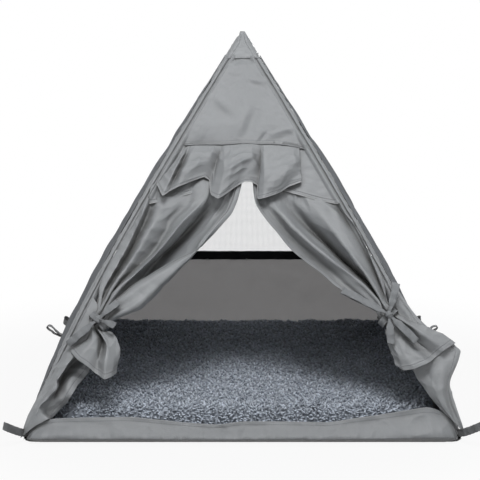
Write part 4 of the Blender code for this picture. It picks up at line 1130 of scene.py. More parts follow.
def window_net():
    """The net in the opening: real strands, crossed."""
    inset = TAPE_WIDTH - NET_BEHIND_TAPE
    low, high = WINDOW_LOW + inset * NET_UPRIGHT_SHARE, WINDOW_TOP - inset * NET_UPRIGHT_SHARE
    points, faces = [], []

    def strand(across, z, step_across, step_z, lift):
        first = len(points)
        out = PANEL_OUT + lift + 0.0004 * ripples(across, z, 0.08, 77)
        one = BACK.point(across - step_across, z - step_z, out)
        two = BACK.point(across + step_across, z + step_z, out)
        for a, b in zip(one, two):
            points.extend((a, b))
        for i in range(len(one) - 1):
            a = first + 2 * i
            faces.append((a, a + 2, a + 3, a + 1))

    for z in np.arange(low, high, NET_PITCH):
        half = float(window_half(z)) - inset
        count = max(3, int(half / 0.008))
        strand(np.linspace(-half, half, count), np.full(count, z), 0, NET_HALF_STRAND, NET_CROSSING)
    widest = float(window_half(low)) - inset
    heights = np.linspace(low, high, 60)
    reach = window_half(heights) - inset
    for across in np.arange(-widest, widest, NET_PITCH):
        inside = heights[reach > abs(across)]
        if len(inside) > 1:
            strand(np.full(len(inside), across), inside, NET_HALF_STRAND, 0, -NET_CROSSING)
    net = add_mesh("window_net_strands", points, faces, looks["net"], np.array(points)[:, (0, 2, 1)])
    thickened(net, 0.0002)
    placed(net, "tent", "window_net")


# Door curtains
LEFT_TIE = (0.0285, 0.153)
RIGHT_TIE = (0.0226, 0.159)
BUNDLE_OUT = 0.0055
BUNDLE_HALF_WIDTH = 0.0125
BUNDLE_HALF_DEPTH = 0.0070
BUNDLE_SLOPE = math.radians(43)
RIBBON_WIDTH = 0.010
RIBBON_THICKNESS = 0.0007
BAND_THICKNESS = 0.0009
BAND_EASE = 0.0027
BAND_HALF_WIDTH = BUNDLE_HALF_WIDTH + BAND_EASE
BAND_HALF_DEPTH = BUNDLE_HALF_DEPTH + BAND_EASE


def beside_pole(side, inset, z, out):
    """A point of the front, so far in from the pole's centre line on its side."""
    return FRONT.point(side * (pole_half(z) - inset), z, out)


def tie_frame(side, tie):
    """The gathered cloth's centre at a tie, and its axes: across it towards the door, outwards, along."""
    centre = beside_pole(side, tie[0], tie[1], BUNDLE_OUT)
    normal = FRONT.normal(tie[1])
    lean = unit(UP - normal * normal[2])
    across = -(FRONT.along * side * math.sin(BUNDLE_SLOPE) + lean * math.cos(BUNDLE_SLOPE))
    along = FRONT.along * side * math.cos(BUNDLE_SLOPE) - lean * math.sin(BUNDLE_SLOPE)
    return centre, across, normal, along


def bundle_point(side, tie, share, depth, shift):
    """A point of the gathered cloth: a share across it from the pole, a depth outwards, a shift along."""
    centre, across, outward, along = tie_frame(side, tie)
    reach = 2 * share - 1
    room = BUNDLE_HALF_DEPTH * (1 - min(1, abs(reach)) ** 4) ** 0.5
    return centre + across * reach * BUNDLE_HALF_WIDTH + outward * depth * room + along * shift


def rail(places, ends=(), starts=()):
    """A rail through places, each a pixel and a distance out from the front face, and other points."""
    return np.array(list(starts) + [on_front(x, y, out) for x, y, out in places] + list(ends))


def into_tie(side, tie, share, depth):
    """The last points of a rail, as the gathered cloth enters the ribbon's band."""
    return [bundle_point(side, tie, share, depth, -0.009), bundle_point(side, tie, share, depth, 0.002)]


TUCK = PANEL_OUT - 0.0014
LEFT_TOP = -0.0008
LEFT_CURTAIN = [
    # Pixels with the distance out, then the share and depth in the tie. In turn: ridge at the pole,
    # groove, soft rise, valley, light ridge, its side, deep hollow, layer behind it, fold at the doorway,
    # and the band turned back there: its bulge, its stitch line and its free edge
    ([(151, 186, LEFT_TOP), (144, 210, 0.004), (133.5, 235, 0.007), (118, 265, 0.007),
      (103.5, 291, 0.005)], -0.01, 0.4),
    ([(155, 186, LEFT_TOP), (149, 210, -0.010), (138.5, 235, -0.013), (122.5, 265, -0.011),
      (106.5, 292, -0.005)], 0.01, -0.2),
    ([(171, 183, LEFT_TOP), (159, 212, 0.003), (149, 230, 0.007), (136, 252, 0.009), (124, 270, 0.008),
      (111, 289, 0.006)], 0.13, 0.7),
    ([(193, 178, LEFT_TOP), (186, 202, -0.004), (172, 218, -0.009), (167, 230, -0.012),
      (158, 245.5, -0.013), (146, 261, -0.010), (126, 279, -0.004), (111, 294, 0.001)], 0.26, -0.4),
    ([(210, 173, LEFT_TOP), (204, 199, 0.004), (182.5, 221, 0.013), (158, 251.5, 0.017),
      (136.5, 273, 0.016), (118, 290, 0.011)], 0.38, 0.9),
    ([(215, 172, LEFT_TOP), (208.5, 198, -0.001), (190, 222, -0.008), (166, 249, -0.010),
      (144, 270, -0.007), (121, 292, 0.002)], 0.45, 0.3),
    ([(221, 170, LEFT_TOP), (214, 198, -0.008), (199, 218, -0.024), (177, 240.5, -0.032),
      (159, 257, -0.029), (147, 272, -0.021), (137, 281.5, -0.012), (121, 297, 0.0)], 0.52, -0.5),
    ([(230, 167, LEFT_TOP), (222, 200, -0.002), (207, 222, -0.011), (191, 240, -0.020),
      (175, 258, -0.021), (157, 275, -0.017), (140, 292, -0.009), (122, 306, 0.0)], 0.74, -0.7),
    ([(239, 164, LEFT_TOP), (234, 190, -0.001), (224, 210, -0.002), (213, 223, -0.002),
      (199, 242, -0.002), (195, 253, -0.001), (179.5, 270, 0.0), (159.5, 293, 0.001), (146, 308, 0.002),
      (133.5, 314.5, 0.003), (120, 319, 0.004)], 1.0, 0.0),
    ([(240, 163.5, LEFT_TOP), (235.5, 190, 0.0), (226, 210, 0.001), (215, 223, 0.002),
      (200, 243, 0.006), (196, 252.5, 0.010), (178, 268.5, 0.015), (155, 290, 0.017), (141, 302, 0.017),
      (130, 309, 0.015), (116, 315, 0.013)], 0.88, 0.6),
    ([(241.5, 163, LEFT_TOP), (237, 189, 0.001), (229, 210, 0.003), (218.5, 222, 0.005),
      (201.5, 243.5, 0.010), (194, 252.5, 0.014), (167, 268.5, 0.017), (146, 281.5, 0.017),
      (127, 296, 0.015), (112, 308, 0.012)], 0.72, 1.0),
    ([(244.5, 162, LEFT_TOP), (240.5, 187, -0.001), (233, 210, 0.000), (224, 221, 0.000),
      (204, 242.5, 0.003), (198.5, 247, 0.004), (167, 262.5, 0.004), (136.5, 282, 0.004),
      (121, 294.5, 0.005), (107, 305, 0.006)], 0.60, 1.0),
]
RIGHT_CURTAIN = [
    # Ridge at the pole, groove, smooth panel in two rails, its edge, deep valley, light ridge, shallow
    # valley, free edge
    ([(339, 202, TUCK), (343.5, 209, 0.002), (360, 233, 0.004), (371, 257.5, 0.004),
      (379.5, 277.5, 0.003), (385, 296, 0.001)], -0.01, 0.4),
    ([(337, 201.5, TUCK), (340.5, 209, -0.005), (357, 233, -0.007), (368.5, 257.5, -0.007),
      (377.5, 277.5, -0.005), (383.5, 297, -0.002)], 0.01, -0.2),
    ([(322, 198, TUCK), (331, 211, 0.001), (347, 236, 0.006), (361, 259, 0.008), (372, 279, 0.008),
      (382, 299, 0.006)], 0.16, 0.8),
    ([(303, 193.5, TUCK), (317, 210, 0.000), (337, 237, 0.007), (352, 256, 0.009), (366, 275, 0.008),
      (379, 299, 0.005)], 0.32, 0.5),
    ([(295, 191, TUCK), (304, 209, -0.006), (324, 234, -0.010), (344, 255, -0.010), (361, 273, -0.006),
      (380, 300, 0.001)], 0.40, 0.0),
    ([(287, 189.5, TUCK), (294, 210, -0.014), (313, 233, -0.027), (336, 254, -0.031),
      (356, 272, -0.027), (369, 285, -0.018), (381, 301, -0.003)], 0.47, -0.6),
    ([(273, 184, TUCK), (274, 202, 0.002), (289.5, 223, 0.012), (313, 244.5, 0.017),
      (336, 262.5, 0.017), (357.5, 279, 0.013), (378, 301, 0.008)], 0.62, 0.9),
    ([(263, 181, TUCK), (265, 205, -0.004), (283, 228, -0.006), (303, 248, -0.006), (325, 267, -0.004),
      (345, 284, -0.002), (370, 304, 0.002)], 0.80, -0.3),
    ([(252, 176.5, TUCK), (254, 199.5, 0.0), (260, 213, 0.003), (275, 231, 0.005), (291, 249, 0.006),
      (304.5, 261, 0.006), (319.5, 272.5, 0.006), (333, 285, 0.005), (345, 293, 0.005),
      (362, 303, 0.004), (376, 311, 0.004)], 1.0, 0.2),
]


# The curtains' first rail, along the pole: how far in from it, how high, and how far out
CURTAIN_START = {"left": (0.0010, 0.337, 0.0012), "right": (0.0010, 0.322, 0.0004)}
CURTAIN_ON_SLEEVE = [
    (0.0010, 0.30, 0.0004),
    (0.0010, 0.27, 0.0004),
    (0.0010, 0.24, 0.0004),
    (0.0010, 0.215, 0.0004),
    (0.0050, 0.196, 0.0006),
    (0.0130, 0.179, 0.0010),
]


def edge_hem(grid, normals, width=HEM, height=0.0006):
    """Thickens the cloth along its last column into a hem, and gives each point's distance from there."""
    steps = np.linalg.norm(np.diff(grid, axis=1), axis=2)[:, ::-1]
    from_edge = np.concatenate((np.zeros((grid.shape[0], 1)), np.cumsum(steps, axis=1)), axis=1)[:, ::-1]
    return grid + normals * hem_step(from_edge, width, height)[..., None], from_edge


def hem_line(grid, from_edge, facing, normals, first, final):
    """The hem's stitch line on one side of a grid, between two shares of the edge's length."""
    rows = range(int(grid.shape[0] * first), int(grid.shape[0] * final))
    columns = [int(np.argmin(np.abs(from_edge[r] - (HEM - HEM_STITCH_IN)))) for r in rows]
    line = np.array([grid[r, c] for r, c in zip(rows, columns)])
    up = np.array([normals[r, c] for r, c in zip(rows, columns)])
    smooth = np.ones(5) / 5
    for k in range(3):
        line[2:-2, k] = np.convolve(line[:, k], smooth, mode="valid")
    return line + up * (facing * STITCH_LIFT), up


def curtain(word, side, tie, rails, seed):
    """A curtain above its tie: folds that run together from the gable and the pole into the ribbon."""
    made_rails = [rail(places, into_tie(side, tie, share, depth)) for places, share, depth in rails]
    on_sleeve = [beside_pole(side, *place) for place in [CURTAIN_START[word]] + CURTAIN_ON_SLEEVE]
    made_rails.insert(0, np.array(on_sleeve + into_tie(side, tie, -0.02, 0.0)))
    grid = pleated(made_rails, 230, 24, 6)
    normals = front_normals(grid, 0.25)
    a, b = grid_flat(grid)
    end = ease((b.max() - b) / 0.05) * ease(b / 0.02)
    wave = 0.0011 * ripples(a * 1.7, b * 0.45, 0.05, seed) + crumpled(a, b, seed + 1, 0.0008, 0.040)
    gathers = 0.0011 * ripples(a * 3.2, b * 0.12, 0.035, seed + 2) * ease((b - b.max() + 0.10) / 0.08)
    grid = grid + normals * ((wave * end) + gathers)[..., None]
    top = puckers(b, a, seed + 3, pitch=0.011, depth=0.0009, reach=0.02) * ease(b / 0.008)
    grid = grid + normals * top[..., None]
    grid, from_edge = edge_hem(grid, normals, height=0.0013)
    name = f"{word}_curtain"
    made = cloth(f"{name}_cloth", grid, looks["cloth"], node_name=name)
    for where, facing in BOTH_SIDES:
        line, up = hem_line(grid, from_edge, facing, normals, 0.04, 0.9)
        stitches(f"{name}_hem_stitches_{where}", line, up * facing)


def out_of_tie(side, tie, share, depth):
    """The first points of a rail, as the cloth leaves the ribbon's band below."""
    return [bundle_point(side, tie, share, depth, -0.002), bundle_point(side, tie, share, depth, 0.008)]


LEFT_SKIRT = [
    # From the pole side to the free edge: the way down to the hem, then share and depth in the tie
    ([(88, 338, 0.008), (76, 346, 0.009), (71.5, 351.5, 0.007)], 0.10, 0.2),
    ([(92, 341, 0.016), (83, 352, 0.020), (78, 360, 0.018)], 0.28, 0.9),
    ([(98, 344, 0.013), (91, 358, 0.018), (87.5, 366.5, 0.018)], 0.44, 0.5),
    ([(102.5, 342, 0.000), (98, 361, 0.012), (95.5, 373, 0.017)], 0.56, -0.7),
    ([(106, 343, 0.018), (105, 362, 0.025), (104.5, 380, 0.023)], 0.68, 0.9),
    ([(109, 341, 0.013), (113, 358, 0.017), (111.5, 376.5, 0.017)], 0.86, 0.5),
    ([(112, 332, 0.006), (120, 349.5, 0.007), (115.5, 373, 0.006)], 1.00, 0.0),
]
RIGHT_SKIRT = [
    ([(422, 324.5, 0.010), (443, 334, 0.011), (455, 343.5, 0.010)], 0.04, 0.2),
    ([(414, 328, 0.020), (432, 340.5, 0.022), (445.5, 349.5, 0.019)], 0.24, 0.9),
    ([(407, 331, 0.003), (419, 346, 0.005), (436, 357, 0.012)], 0.40, -0.4),
    ([(403, 333, 0.012), (413, 349, 0.018), (429, 363, 0.019)], 0.52, 0.6),
    ([(396, 334, 0.014), (404, 353, 0.021), (415, 369, 0.020)], 0.72, 0.9),
    ([(391, 334, 0.013), (397, 353, 0.017), (403.5, 370.6, 0.014)], 0.88, 0.6),
    ([(385, 331, 0.006), (389, 346.5, 0.007), (396.5, 364.6, 0.006)], 1.00, 0.0),
]


SKIRT_CREASES = {
    "left": [([(101, 333), (105, 340), (111, 346)], 0.0060, -0.0022)],
    "right": [([(414, 341), (425, 350), (436, 356)], 0.0060, -0.0022),
              ([(398, 351), (408, 355), (420, 362)], 0.0045, -0.0014),
              ([(401, 362), (412, 358), (425, 357)], 0.0040, 0.0012)],
}


def skirt(word, side, tie, rails, seed):
    """The curtain below its tie: folds that fan out to the hem."""
    made_rails = [
        rail(places, starts=out_of_tie(side, tie, share, depth)) for places, share, depth in rails
    ]
    grid = pleated(made_rails, 120, 22, 4)
    normals = front_normals(grid, 0.12)
    a, b = grid_flat(grid)
    gathers = 0.0010 * ripples(a * 2.6, b * 0.2, 0.030, seed) * (1 - ease(b / 0.045))
    wave = 0.0009 * ripples(a, b * 0.6, 0.035, seed + 1) + crumpled(a, b, seed + 2, 0.0010, 0.030)
    grid = grid + normals * (gathers + wave * ease(b / 0.02))[..., None]
    grid = creased_by(grid, normals, SKIRT_CREASES[word], 0.018)
    from_hem = b.max() - b
    grid = grid + normals * hem_step(from_hem, 0.0075, 0.0007)[..., None]
    grid, _ = edge_hem(grid, normals, width=0.006)
    name = f"{word}_curtain_skirt"
    made = cloth(f"{name}_cloth", grid, looks["cloth"], node_name=name)
    row = int(np.argmin(np.abs(from_hem[:, 0] - 0.0062)))
    for where, facing in BOTH_SIDES:
        line = grid[row] + normals[row] * facing * STITCH_LIFT
        stitches(f"{name}_hem_stitches_{where}", line, normals[row] * facing)


LEFT_FLAP = [
    # Pole edge, rise, ridge, the front strip's edge, valley behind it, inner fold, free edge
    [(93, 297, 0.0005), (84, 316, 0.0005), (72, 339, 0.0005), (56.5, 364, 0.0005), (41.5, 390, 0.0005),
     (27, 419, 0.001), (20.5, 438, 0.002)],
    [(98, 305, 0.003), (90, 323, 0.006), (78, 343, 0.008), (62, 366, 0.008), (47, 390, 0.006),
     (33, 415, 0.005), (27, 432.5, 0.0045)],
    [(100, 310, 0.002), (92, 329, 0.006), (80, 349, 0.009), (64, 371, 0.010), (51.5, 389, 0.009),
     (38, 410, 0.008), (35, 426, 0.006)],
    [(101, 312, 0.000), (94, 331, 0.003), (84, 345, 0.006), (70, 355, 0.008), (58, 377, 0.009),
     (57.5, 388.5, 0.009), (48, 398, 0.008), (40, 406, 0.007), (41, 412, 0.006), (49.5, 418.5, 0.006)],
    [(101.5, 314, -0.002), (95, 332, -0.007), (87, 349, -0.014), (71, 364, -0.021), (60, 378, -0.018),
     (57, 390, -0.012), (50, 401, -0.004), (46, 412, -0.007), (50, 420, -0.010)],
    [(102, 315, -0.001), (98, 334, -0.003), (92, 352, -0.006), (78, 371, -0.008), (68.5, 383, 0.000),
     (64, 397, 0.000), (57, 405, -0.008), (51, 417, -0.011)],
    [(103, 317, -0.002), (101, 334, -0.008), (97, 352, -0.014), (88, 372, -0.016), (78, 385, -0.008),
     (71.5, 395.5, -0.001), (67, 402, -0.009), (60.5, 409, -0.013), (52, 418, -0.012)],
]
RIGHT_FLAP = [
    [(386, 306, 0.000), (393, 325, -0.001), (413, 371, -0.002), (425, 389, -0.001), (436, 404, 0.002),
     (444, 412.5, 0.004)],
    [(389, 302, 0.002), (400, 322, 0.004), (424, 362, 0.008), (432, 383, 0.010), (439, 400, 0.009),
     (449, 417, 0.006)],
    [(391, 297, 0.003), (408, 316, 0.006), (440, 354, 0.012), (443, 378, 0.014), (444, 400, 0.012),
     (454, 422, 0.007)],
    [(392, 290, 0.001), (414, 316, 0.003), (451, 349, 0.008), (450, 380, 0.007), (448.5, 398, 0.003),
     (459, 427, 0.005)],
    [(392, 281, 0.001), (420.5, 321, 0.003), (448, 340, 0.004), (456, 347.5, 0.005),
     (459.7, 351, 0.005), (458.8, 356, 0.005), (449.5, 385, 0.003), (455, 403.5, 0.003),
     (465, 436, 0.002)],
]


FLAP_CREASES = {
    "left": [([(52, 372), (44, 388), (38, 404)], 0.0050, -0.0016)],
    "right": [([(452, 350), (440, 363), (424, 373)], 0.0060, -0.0022),
              ([(449, 362), (441, 380), (438, 396)], 0.0050, 0.0020),
              ([(427, 372), (434, 384), (439, 398)], 0.0045, -0.0018)],
}


def flap(word, rails, seed):
    """The curtain's outer part, which hangs free of the tie along the pole."""
    grid = pleated([rail(places) for places in rails], 220, 26, 6)
    normals = front_normals(grid, 0.1)
    a, b = grid_flat(grid)
    wave = 0.0010 * ripples(a, b * 0.5, 0.04, seed) + crumpled(a, b, seed + 1, 0.0010, 0.035)
    loose = ease(b / 0.02) * ease((b.max() - b) / 0.015)
    grid = grid + normals * (wave * loose)[..., None]
    grid = creased_by(grid, normals, FLAP_CREASES[word], 0.008)
    grid, from_edge = edge_hem(grid, normals)
    name = f"{word}_curtain_flap"
    made = cloth(f"{name}_cloth", grid, looks["cloth"], node_name=name)
    for where, facing in BOTH_SIDES:
        line, up = hem_line(grid, from_edge, facing, normals, 0.02, 0.98)
        stitches(f"{name}_hem_stitches_{where}", line, up * facing)


VALANCE = [
    # Each rail at the seam, half way down and at the hem
    [(186, 147, -0.0016), (171, 166, 0.003), (157, 184, 0.004)],
    [(187, 146.5, -0.0008), (174, 171, 0.013), (162.5, 195.5, 0.013)],
    [(189, 146, -0.0014), (181, 166, -0.0015), (168, 192, 0.0085)],
    [(195, 145.5, 0.0000), (182.5, 171, 0.0150), (178, 186.5, 0.0110)],
    [(207, 145.5, 0.0003), (198, 162, 0.0165), (190, 181.5, 0.0075)],
    [(215, 145.5, 0.0003), (212, 152, 0.0080), (204, 176.5, 0.0045)],
    [(221.5, 146, -0.0014), (216.5, 163, -0.0005), (210, 180.5, 0.0015)],
    [(222.5, 146, -0.0010), (217.8, 165, 0.0060), (211, 194.5, 0.0095)],
    [(224, 145.5, 0.0000), (224, 170.5, 0.0190), (218, 198.5, 0.0150)],
    [(232, 145, 0.0003), (232, 167, 0.0215), (226, 193.5, 0.0110)],
    [(243, 144, 0.0003), (243, 160.5, 0.0170), (236, 186, 0.0065)],
    [(251, 144, 0.0003), (252.5, 156, 0.0100), (244, 181.7, 0.0045)],
    [(256, 144.5, 0.0000), (256, 163, 0.0050), (251, 181.5, 0.0030)],
    [(260.5, 145, -0.0014), (260.5, 166, -0.0005), (258, 185.5, 0.0010)],
    [(261.5, 145, -0.0010), (260.8, 170, 0.0070), (258, 199, 0.0100)],
    [(264, 145, 0.0000), (264, 171, 0.0140), (263.5, 198, 0.0150)],
    [(273, 145, 0.0003), (275, 180, 0.0210), (272, 195, 0.0110)],
    [(284, 146, 0.0003), (287, 170, 0.0180), (281, 191.5, 0.0065)],
    [(293, 147, 0.0003), (296, 162, 0.0115), (288, 186.5, 0.0045)],
    [(299.5, 148.5, -0.0012), (300.5, 165, 0.0020), (301.5, 182, 0.0030)],
]


# The seam over the valance as pixels, and the seam strip's section: how far up and how far out it is
VALANCE_SEAM = [(184.5, 145), (203, 144.5), (222, 144.5), (242, 143.5), (260, 144), (280, 144.5),
                (299, 147.5), (307, 149.5)]
SEAM_STRIP = [(-0.0010, -0.0003), (-0.0008, 0.0001), (0.0, 0.0003), (0.0008, 0.0001), (0.0010, -0.0003),
              (0.0010, -0.0022), (0.0068, -0.0062)]


def valance():
    """The pleated strip over the door, which stands out at its pleats, and the strip along its seam."""
    grid = pleated([rail(places) for places in VALANCE], 110, 14, 2, straight=True)
    normals = front_normals(grid, 0.35)
    a, b = grid_flat(grid)
    wave = (0.0003 * ripples(a, b * 0.5, 0.02, 201) + crumpled(a, b, 203, 0.0009, 0.026)) * ease(b / 0.02)
    gathers = 0.00012 * ripples(a * 2.2, b * 0.3, 0.014, 202) * (1 - ease(b / 0.03))
    hem = hem_step(b.max() - b, 0.005, 0.0005)
    grid = grid + normals * (wave + gathers + hem)[..., None]
    made = cloth("valance_cloth", grid, looks["cloth"], body=None)
    tuple(FRONT.point(0.0, SEAM_HEIGHT + 0.001, 0.0014))
    tuple(FRONT.point(0.0, SEAM_HEIGHT - 0.010, 0.0014))
    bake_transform(made)
    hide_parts("valance")
    hem_cord("valance_hem_edge", grid[-1], normals[-1], "valance")
    row = int(np.argmin(np.abs(b[:, 0] - (b.max() - 0.0042))))
    stitches("valance_hem_stitches", grid[row] + normals[row] * STITCH_LIFT, normals[row], body="valance")
    line = smooth_line(front_line(VALANCE_SEAM, -0.0006), 120)
    binding = []
    for k, (rise, out) in enumerate(SEAM_STRIP):
        wave_out = 0.0002 * ripples(line[:, 0], np.zeros(120), 0.012, 210 + k)
        binding.append(line + UP * rise + FRONT.normal(SEAM_HEIGHT) * (out + wave_out)[:, None])
    grid = np.array(binding)
    made = cloth("valance_seam_cloth", grid, looks["cloth"])
    normal = np.repeat(FRONT.normal(SEAM_HEIGHT)[None], 120, axis=0)
    for word, rise, lift in (("low", 0.0, 0.0005), ("high", 0.0048, 0.0008)):
        stitches(f"valance_seam_stitches_{word}", line + UP * rise + normal * lift, normal)


# Ribbons, webbing and knots
def band_section(thickness):
    """A flat ribbon's section with rounded edges: shares of its width, and heights in metres."""
    section = []
    corners = 16
    for k in range(corners):
        angle = math.tau * (k + 0.5) / corners
        c, s = math.cos(angle), math.sin(angle)
        section.append((0.5 * math.copysign(abs(c) ** 0.35, c), thickness / 2 * s))
    return section


def ribbon(node_name, kind, path, sides, widths, thickness, seed, cut=0.0):
    """A flat ribbon or webbing along a path, in a node's place. `sides` points along its width."""
    steps = len(path)
    along = unit(np.gradient(path, axis=0))
    sides = unit(sides - along * np.sum(sides * along, axis=1, keepdims=True))
    ups = np.cross(along, sides)
    points, flats = [], []
    run = run_along(path)
    phase = np.random.default_rng(seed).uniform(0, 6, 3)
    section = band_section(thickness)
    for i in range(steps):
        for x, y in section:
            curl = 0.10 * widths[i] * math.sin(run[i] * 240 + phase[0]) * (2 * abs(x)) ** 2
            ripple = 0.0003 * math.sin(x * 9 + run[i] * 520 + phase[1])
            slant = cut * x * widths[i] if i == steps - 1 else 0.0
            place = path[i] + sides[i] * x * widths[i] + ups[i] * (y + curl + ripple) + along[i] * slant
            points.append(place)
            flats.append((x * widths[i], run[i], y))
    faces = tube_faces(steps, len(section))
    made = add_mesh(f"{node_name}_{kind}", points, faces, looks[kind], np.array(flats))
    placed(made, node_name, node_name)


# Where each ribbon end and bow loop points to: how far in from the pole, how high and how far out, and
# whether it is a loop
LEFT_ENDS = {
    "bow_loop_upper": (0.044, 0.175, 0.019, True),
    "bow_loop_lower": (0.003, 0.122, 0.016, True),
    "tie_end": (0.0565, 0.145, 0.018, False),
}
RIGHT_ENDS = {
    "bow_loop_inner": (0.070, 0.191, 0.016, True),
    "bow_loop_lower": (0.004, 0.124, 0.026, True),
    "tie_end_upper": (-0.012, 0.200, 0.018, False),
    "tie_end_lower": (0.0395, 0.1215, 0.020, False),
}
KNOT_RADIUS = 0.0058
KNOT_DEPTH = 0.0040
GAP = 0.0004


def narrowed(run):
    """A ribbon's width at a distance from its knot: gathered at first, then full."""
    return RIBBON_WIDTH * (0.40 + 0.60 * ease(run / 0.014))


def tie(word, side, place, ends, seed):
    """The ribbon round the gathered cloth, the wrapped knot, and the ends and bow loops that leave it."""
    axes = tie_frame(side, place)
    centre, _, outward, _ = axes
    tie_band(word, axes, seed)
    knot_centre = centre + outward * (BAND_HALF_DEPTH + BAND_THICKNESS + KNOT_DEPTH + GAP)
    tie_knot(word, axes, knot_centre, seed)
    for k, (end_name, (inset, z, out, folded)) in enumerate(ends.items()):
        end = beside_pole(side, inset, z, out)
        tie_end(f"{word}_{end_name}", knot_centre, outward, end, folded, seed + 17 * k, seed + k)


def tie_band(word, axes, seed):
    """The ribbon's one turn round the gathered cloth."""
    centre, across, outward, along = axes
    turn = np.linspace(0, math.tau, 121)[:-1]
    c, s = np.cos(turn), np.sin(turn)
    ring = (c**4 + s**4) ** -0.25
    wobble = 1 + 0.02 * np.sin(5 * turn + seed) + 0.012 * np.sin(9 * turn)
    rows = []
    for share in np.linspace(-0.5, 0.5, 15):
        drawn = 1 - 0.05 * (1 - (2 * share) ** 2) + 0.014 * math.sin(share * 19 + seed)
        spot = centre + across * (BAND_HALF_WIDTH * c * ring * wobble * drawn)[:, None]
        spot = spot - outward * (BAND_HALF_DEPTH * s * ring * wobble * drawn)[:, None]
        rows.append(spot + along * (share * RIBBON_WIDTH))
    grid = np.array(rows)
    band = cloth(f"{word}_tie_band_ribbon", grid, looks["ribbon"], BAND_THICKNESS, wrap=True,
                 node_name=f"{word}_tie_band")


def tie_knot(word, axes, knot_centre, seed):
    """The knot: a flattened ball with the furrows of the ribbon's wraps."""
    _, across, outward, along = axes
    points = []
    rings, sectors = 28, 40
    for i in range(rings + 1):
        lift = math.pi * i / rings
        for j in range(sectors):
            angle = math.tau * j / sectors
            x = math.sin(lift) * math.cos(angle)
            y = math.sin(lift) * math.sin(angle)
            z = math.cos(lift)
            wrap = 0.10 * math.sin(7.0 * x + 2.5 * y + seed) * (1 - z * z * 0.4)
            wrap = wrap + 0.05 * math.sin(13 * y - 4 * x)
            waist = 1 - 0.16 * math.exp(-((x / 0.25) ** 2)) * abs(y)
            size = (1 + wrap) * 0.92
            spot = knot_centre + along * (x * KNOT_RADIUS * size)
            spot = spot + across * (y * KNOT_RADIUS * size * waist)
            points.append(spot + outward * (z * KNOT_DEPTH * size * 1.05))
    local = np.array(points) - knot_centre
    flat = np.stack((local @ across, local @ along, local @ outward), axis=1)
    faces = grid_faces(rings + 1, sectors, wrap=True)
    knot = add_mesh(f"{word}_tie_knot_ribbon", points, faces, looks["ribbon"], flat)
    placed(knot, "tent", f"{word}_tie_knot")


BOW_BULGE = 0.0030
BOW_GAP = 0.0006


def tie_end(node_name, knot_centre, outward, end, folded, seed, ribbon_seed):
    """A ribbon end or, where it is folded, a bow loop, from inside the knot out to its end."""
    level = end - knot_centre
    level = unit(level - outward * (level @ outward))
    sideways = np.cross(outward, level)
    root = knot_centre + level * (KNOT_RADIUS + 3 * GAP)
    inside = knot_centre + level * KNOT_RADIUS * 0.55
    ahead = end - root
    length = float(np.linalg.norm(ahead))
    ahead = ahead / length
    normal = np.cross(ahead, unit(sideways - ahead * (sideways @ ahead)))
    normal = normal * np.sign(normal @ outward)
    draw = np.random.default_rng(seed)
    if folded:
        half = [(0.0, 0.0008), (0.28, 0.55 * BOW_BULGE), (0.62, BOW_BULGE), (0.88, 0.8 * BOW_BULGE)]
        outline = half + [(0.99, 0.0)] + [(reach, -off * 0.9) for reach, off in reversed(half)]
        path = [root + ahead * length * reach + normal * off for reach, off in outline]
        path = [inside + normal * BOW_GAP] + path + [inside - normal * BOW_GAP]
    else:
        middle = root + ahead * length * 0.5 + outward * 0.0025
        path = [inside, root, middle, end - ahead * 0.001]
    line = smooth_line(np.array(path), 90)
    from_knot = np.abs((line - root) @ ahead)
    widths = narrowed(from_knot)
    widths = widths * (1 - 0.05 * np.sin(from_knot * 300 + draw.uniform(0, 6)))
    sides = np.repeat(sideways[None], len(line), axis=0)
    twist = 0.22 * np.sin(from_knot / length * 2.4 + draw.uniform(0, 3))
    sides = sides * np.cos(twist)[:, None] + normal * np.sin(twist)[:, None]
    cut = 0.0 if folded else 0.35
    ribbon(node_name, "ribbon", line, sides, widths, RIBBON_THICKNESS, ribbon_seed, cut)


LOOP_LENGTH = 0.036
LOOP_WIDTH = 0.011
LOOP_THICKNESS = 0.0012
LOOP_BULGE = 0.0054
LOOP_TILT = math.radians(16)
PEG_LOOP_HEIGHT = 0.0125
PEG_LOOP_RISE = 0.008
SIDE_LOOP_LENGTH = 0.030
SIDE_LOOP_TILT = math.radians(34)
SIDE_LOOP_HEIGHT = 0.072


def webbing_loop(node_name, root, ahead, side, length, seed):
    """Ribbed webbing folded into a loop, sewn shut near its root."""
    ahead = unit(np.array(ahead, float))
    side = unit(side - ahead * (side @ ahead))
    across = np.cross(ahead, side)
    start = LOOP_THICKNESS / 2 + 0.0002
    bulge = LOOP_BULGE * (1.0 if node_name.startswith("peg") else 0.6)
    half = [(-0.10, start), (0.0, start), (0.12, start * 1.1), (0.30, bulge * 0.5), (0.62, bulge),
            (0.88, bulge * 0.8)]
    outline = half + [(0.985, 0.0)] + [(reach, -off) for reach, off in reversed(half)]
    rise = PEG_LOOP_RISE if node_name.startswith("peg") else 0.0
    path = []
    for reach, off in outline:
        path.append(root + ahead * length * reach + across * off + UP * rise * max(reach, 0) ** 1.6)
    steps = 150
    line = smooth_line(np.array(path), steps)
    widths = LOOP_WIDTH * (0.97 - 0.03 * np.sin(np.linspace(0, 1, steps) * 90))
    sides = np.repeat(side[None], steps, axis=0)
    ribbon(node_name, "webbing", line, sides, widths, LOOP_THICKNESS * 0.9, seed)
    for facing, word in ((1, "a"), (-1, "b")):
        place = root + ahead * length * 0.13 + across * facing * (start + LOOP_THICKNESS * 0.5)
        row = np.array([place + side * LOOP_WIDTH * (t - 0.5) * 0.8 for t in np.linspace(0, 1, 12)])
        stitches(f"{node_name}_stitches_{word}", row, np.repeat((across * facing)[None], 12, axis=0),
                 body=node_name, pitch=0.0022, look="webbing")


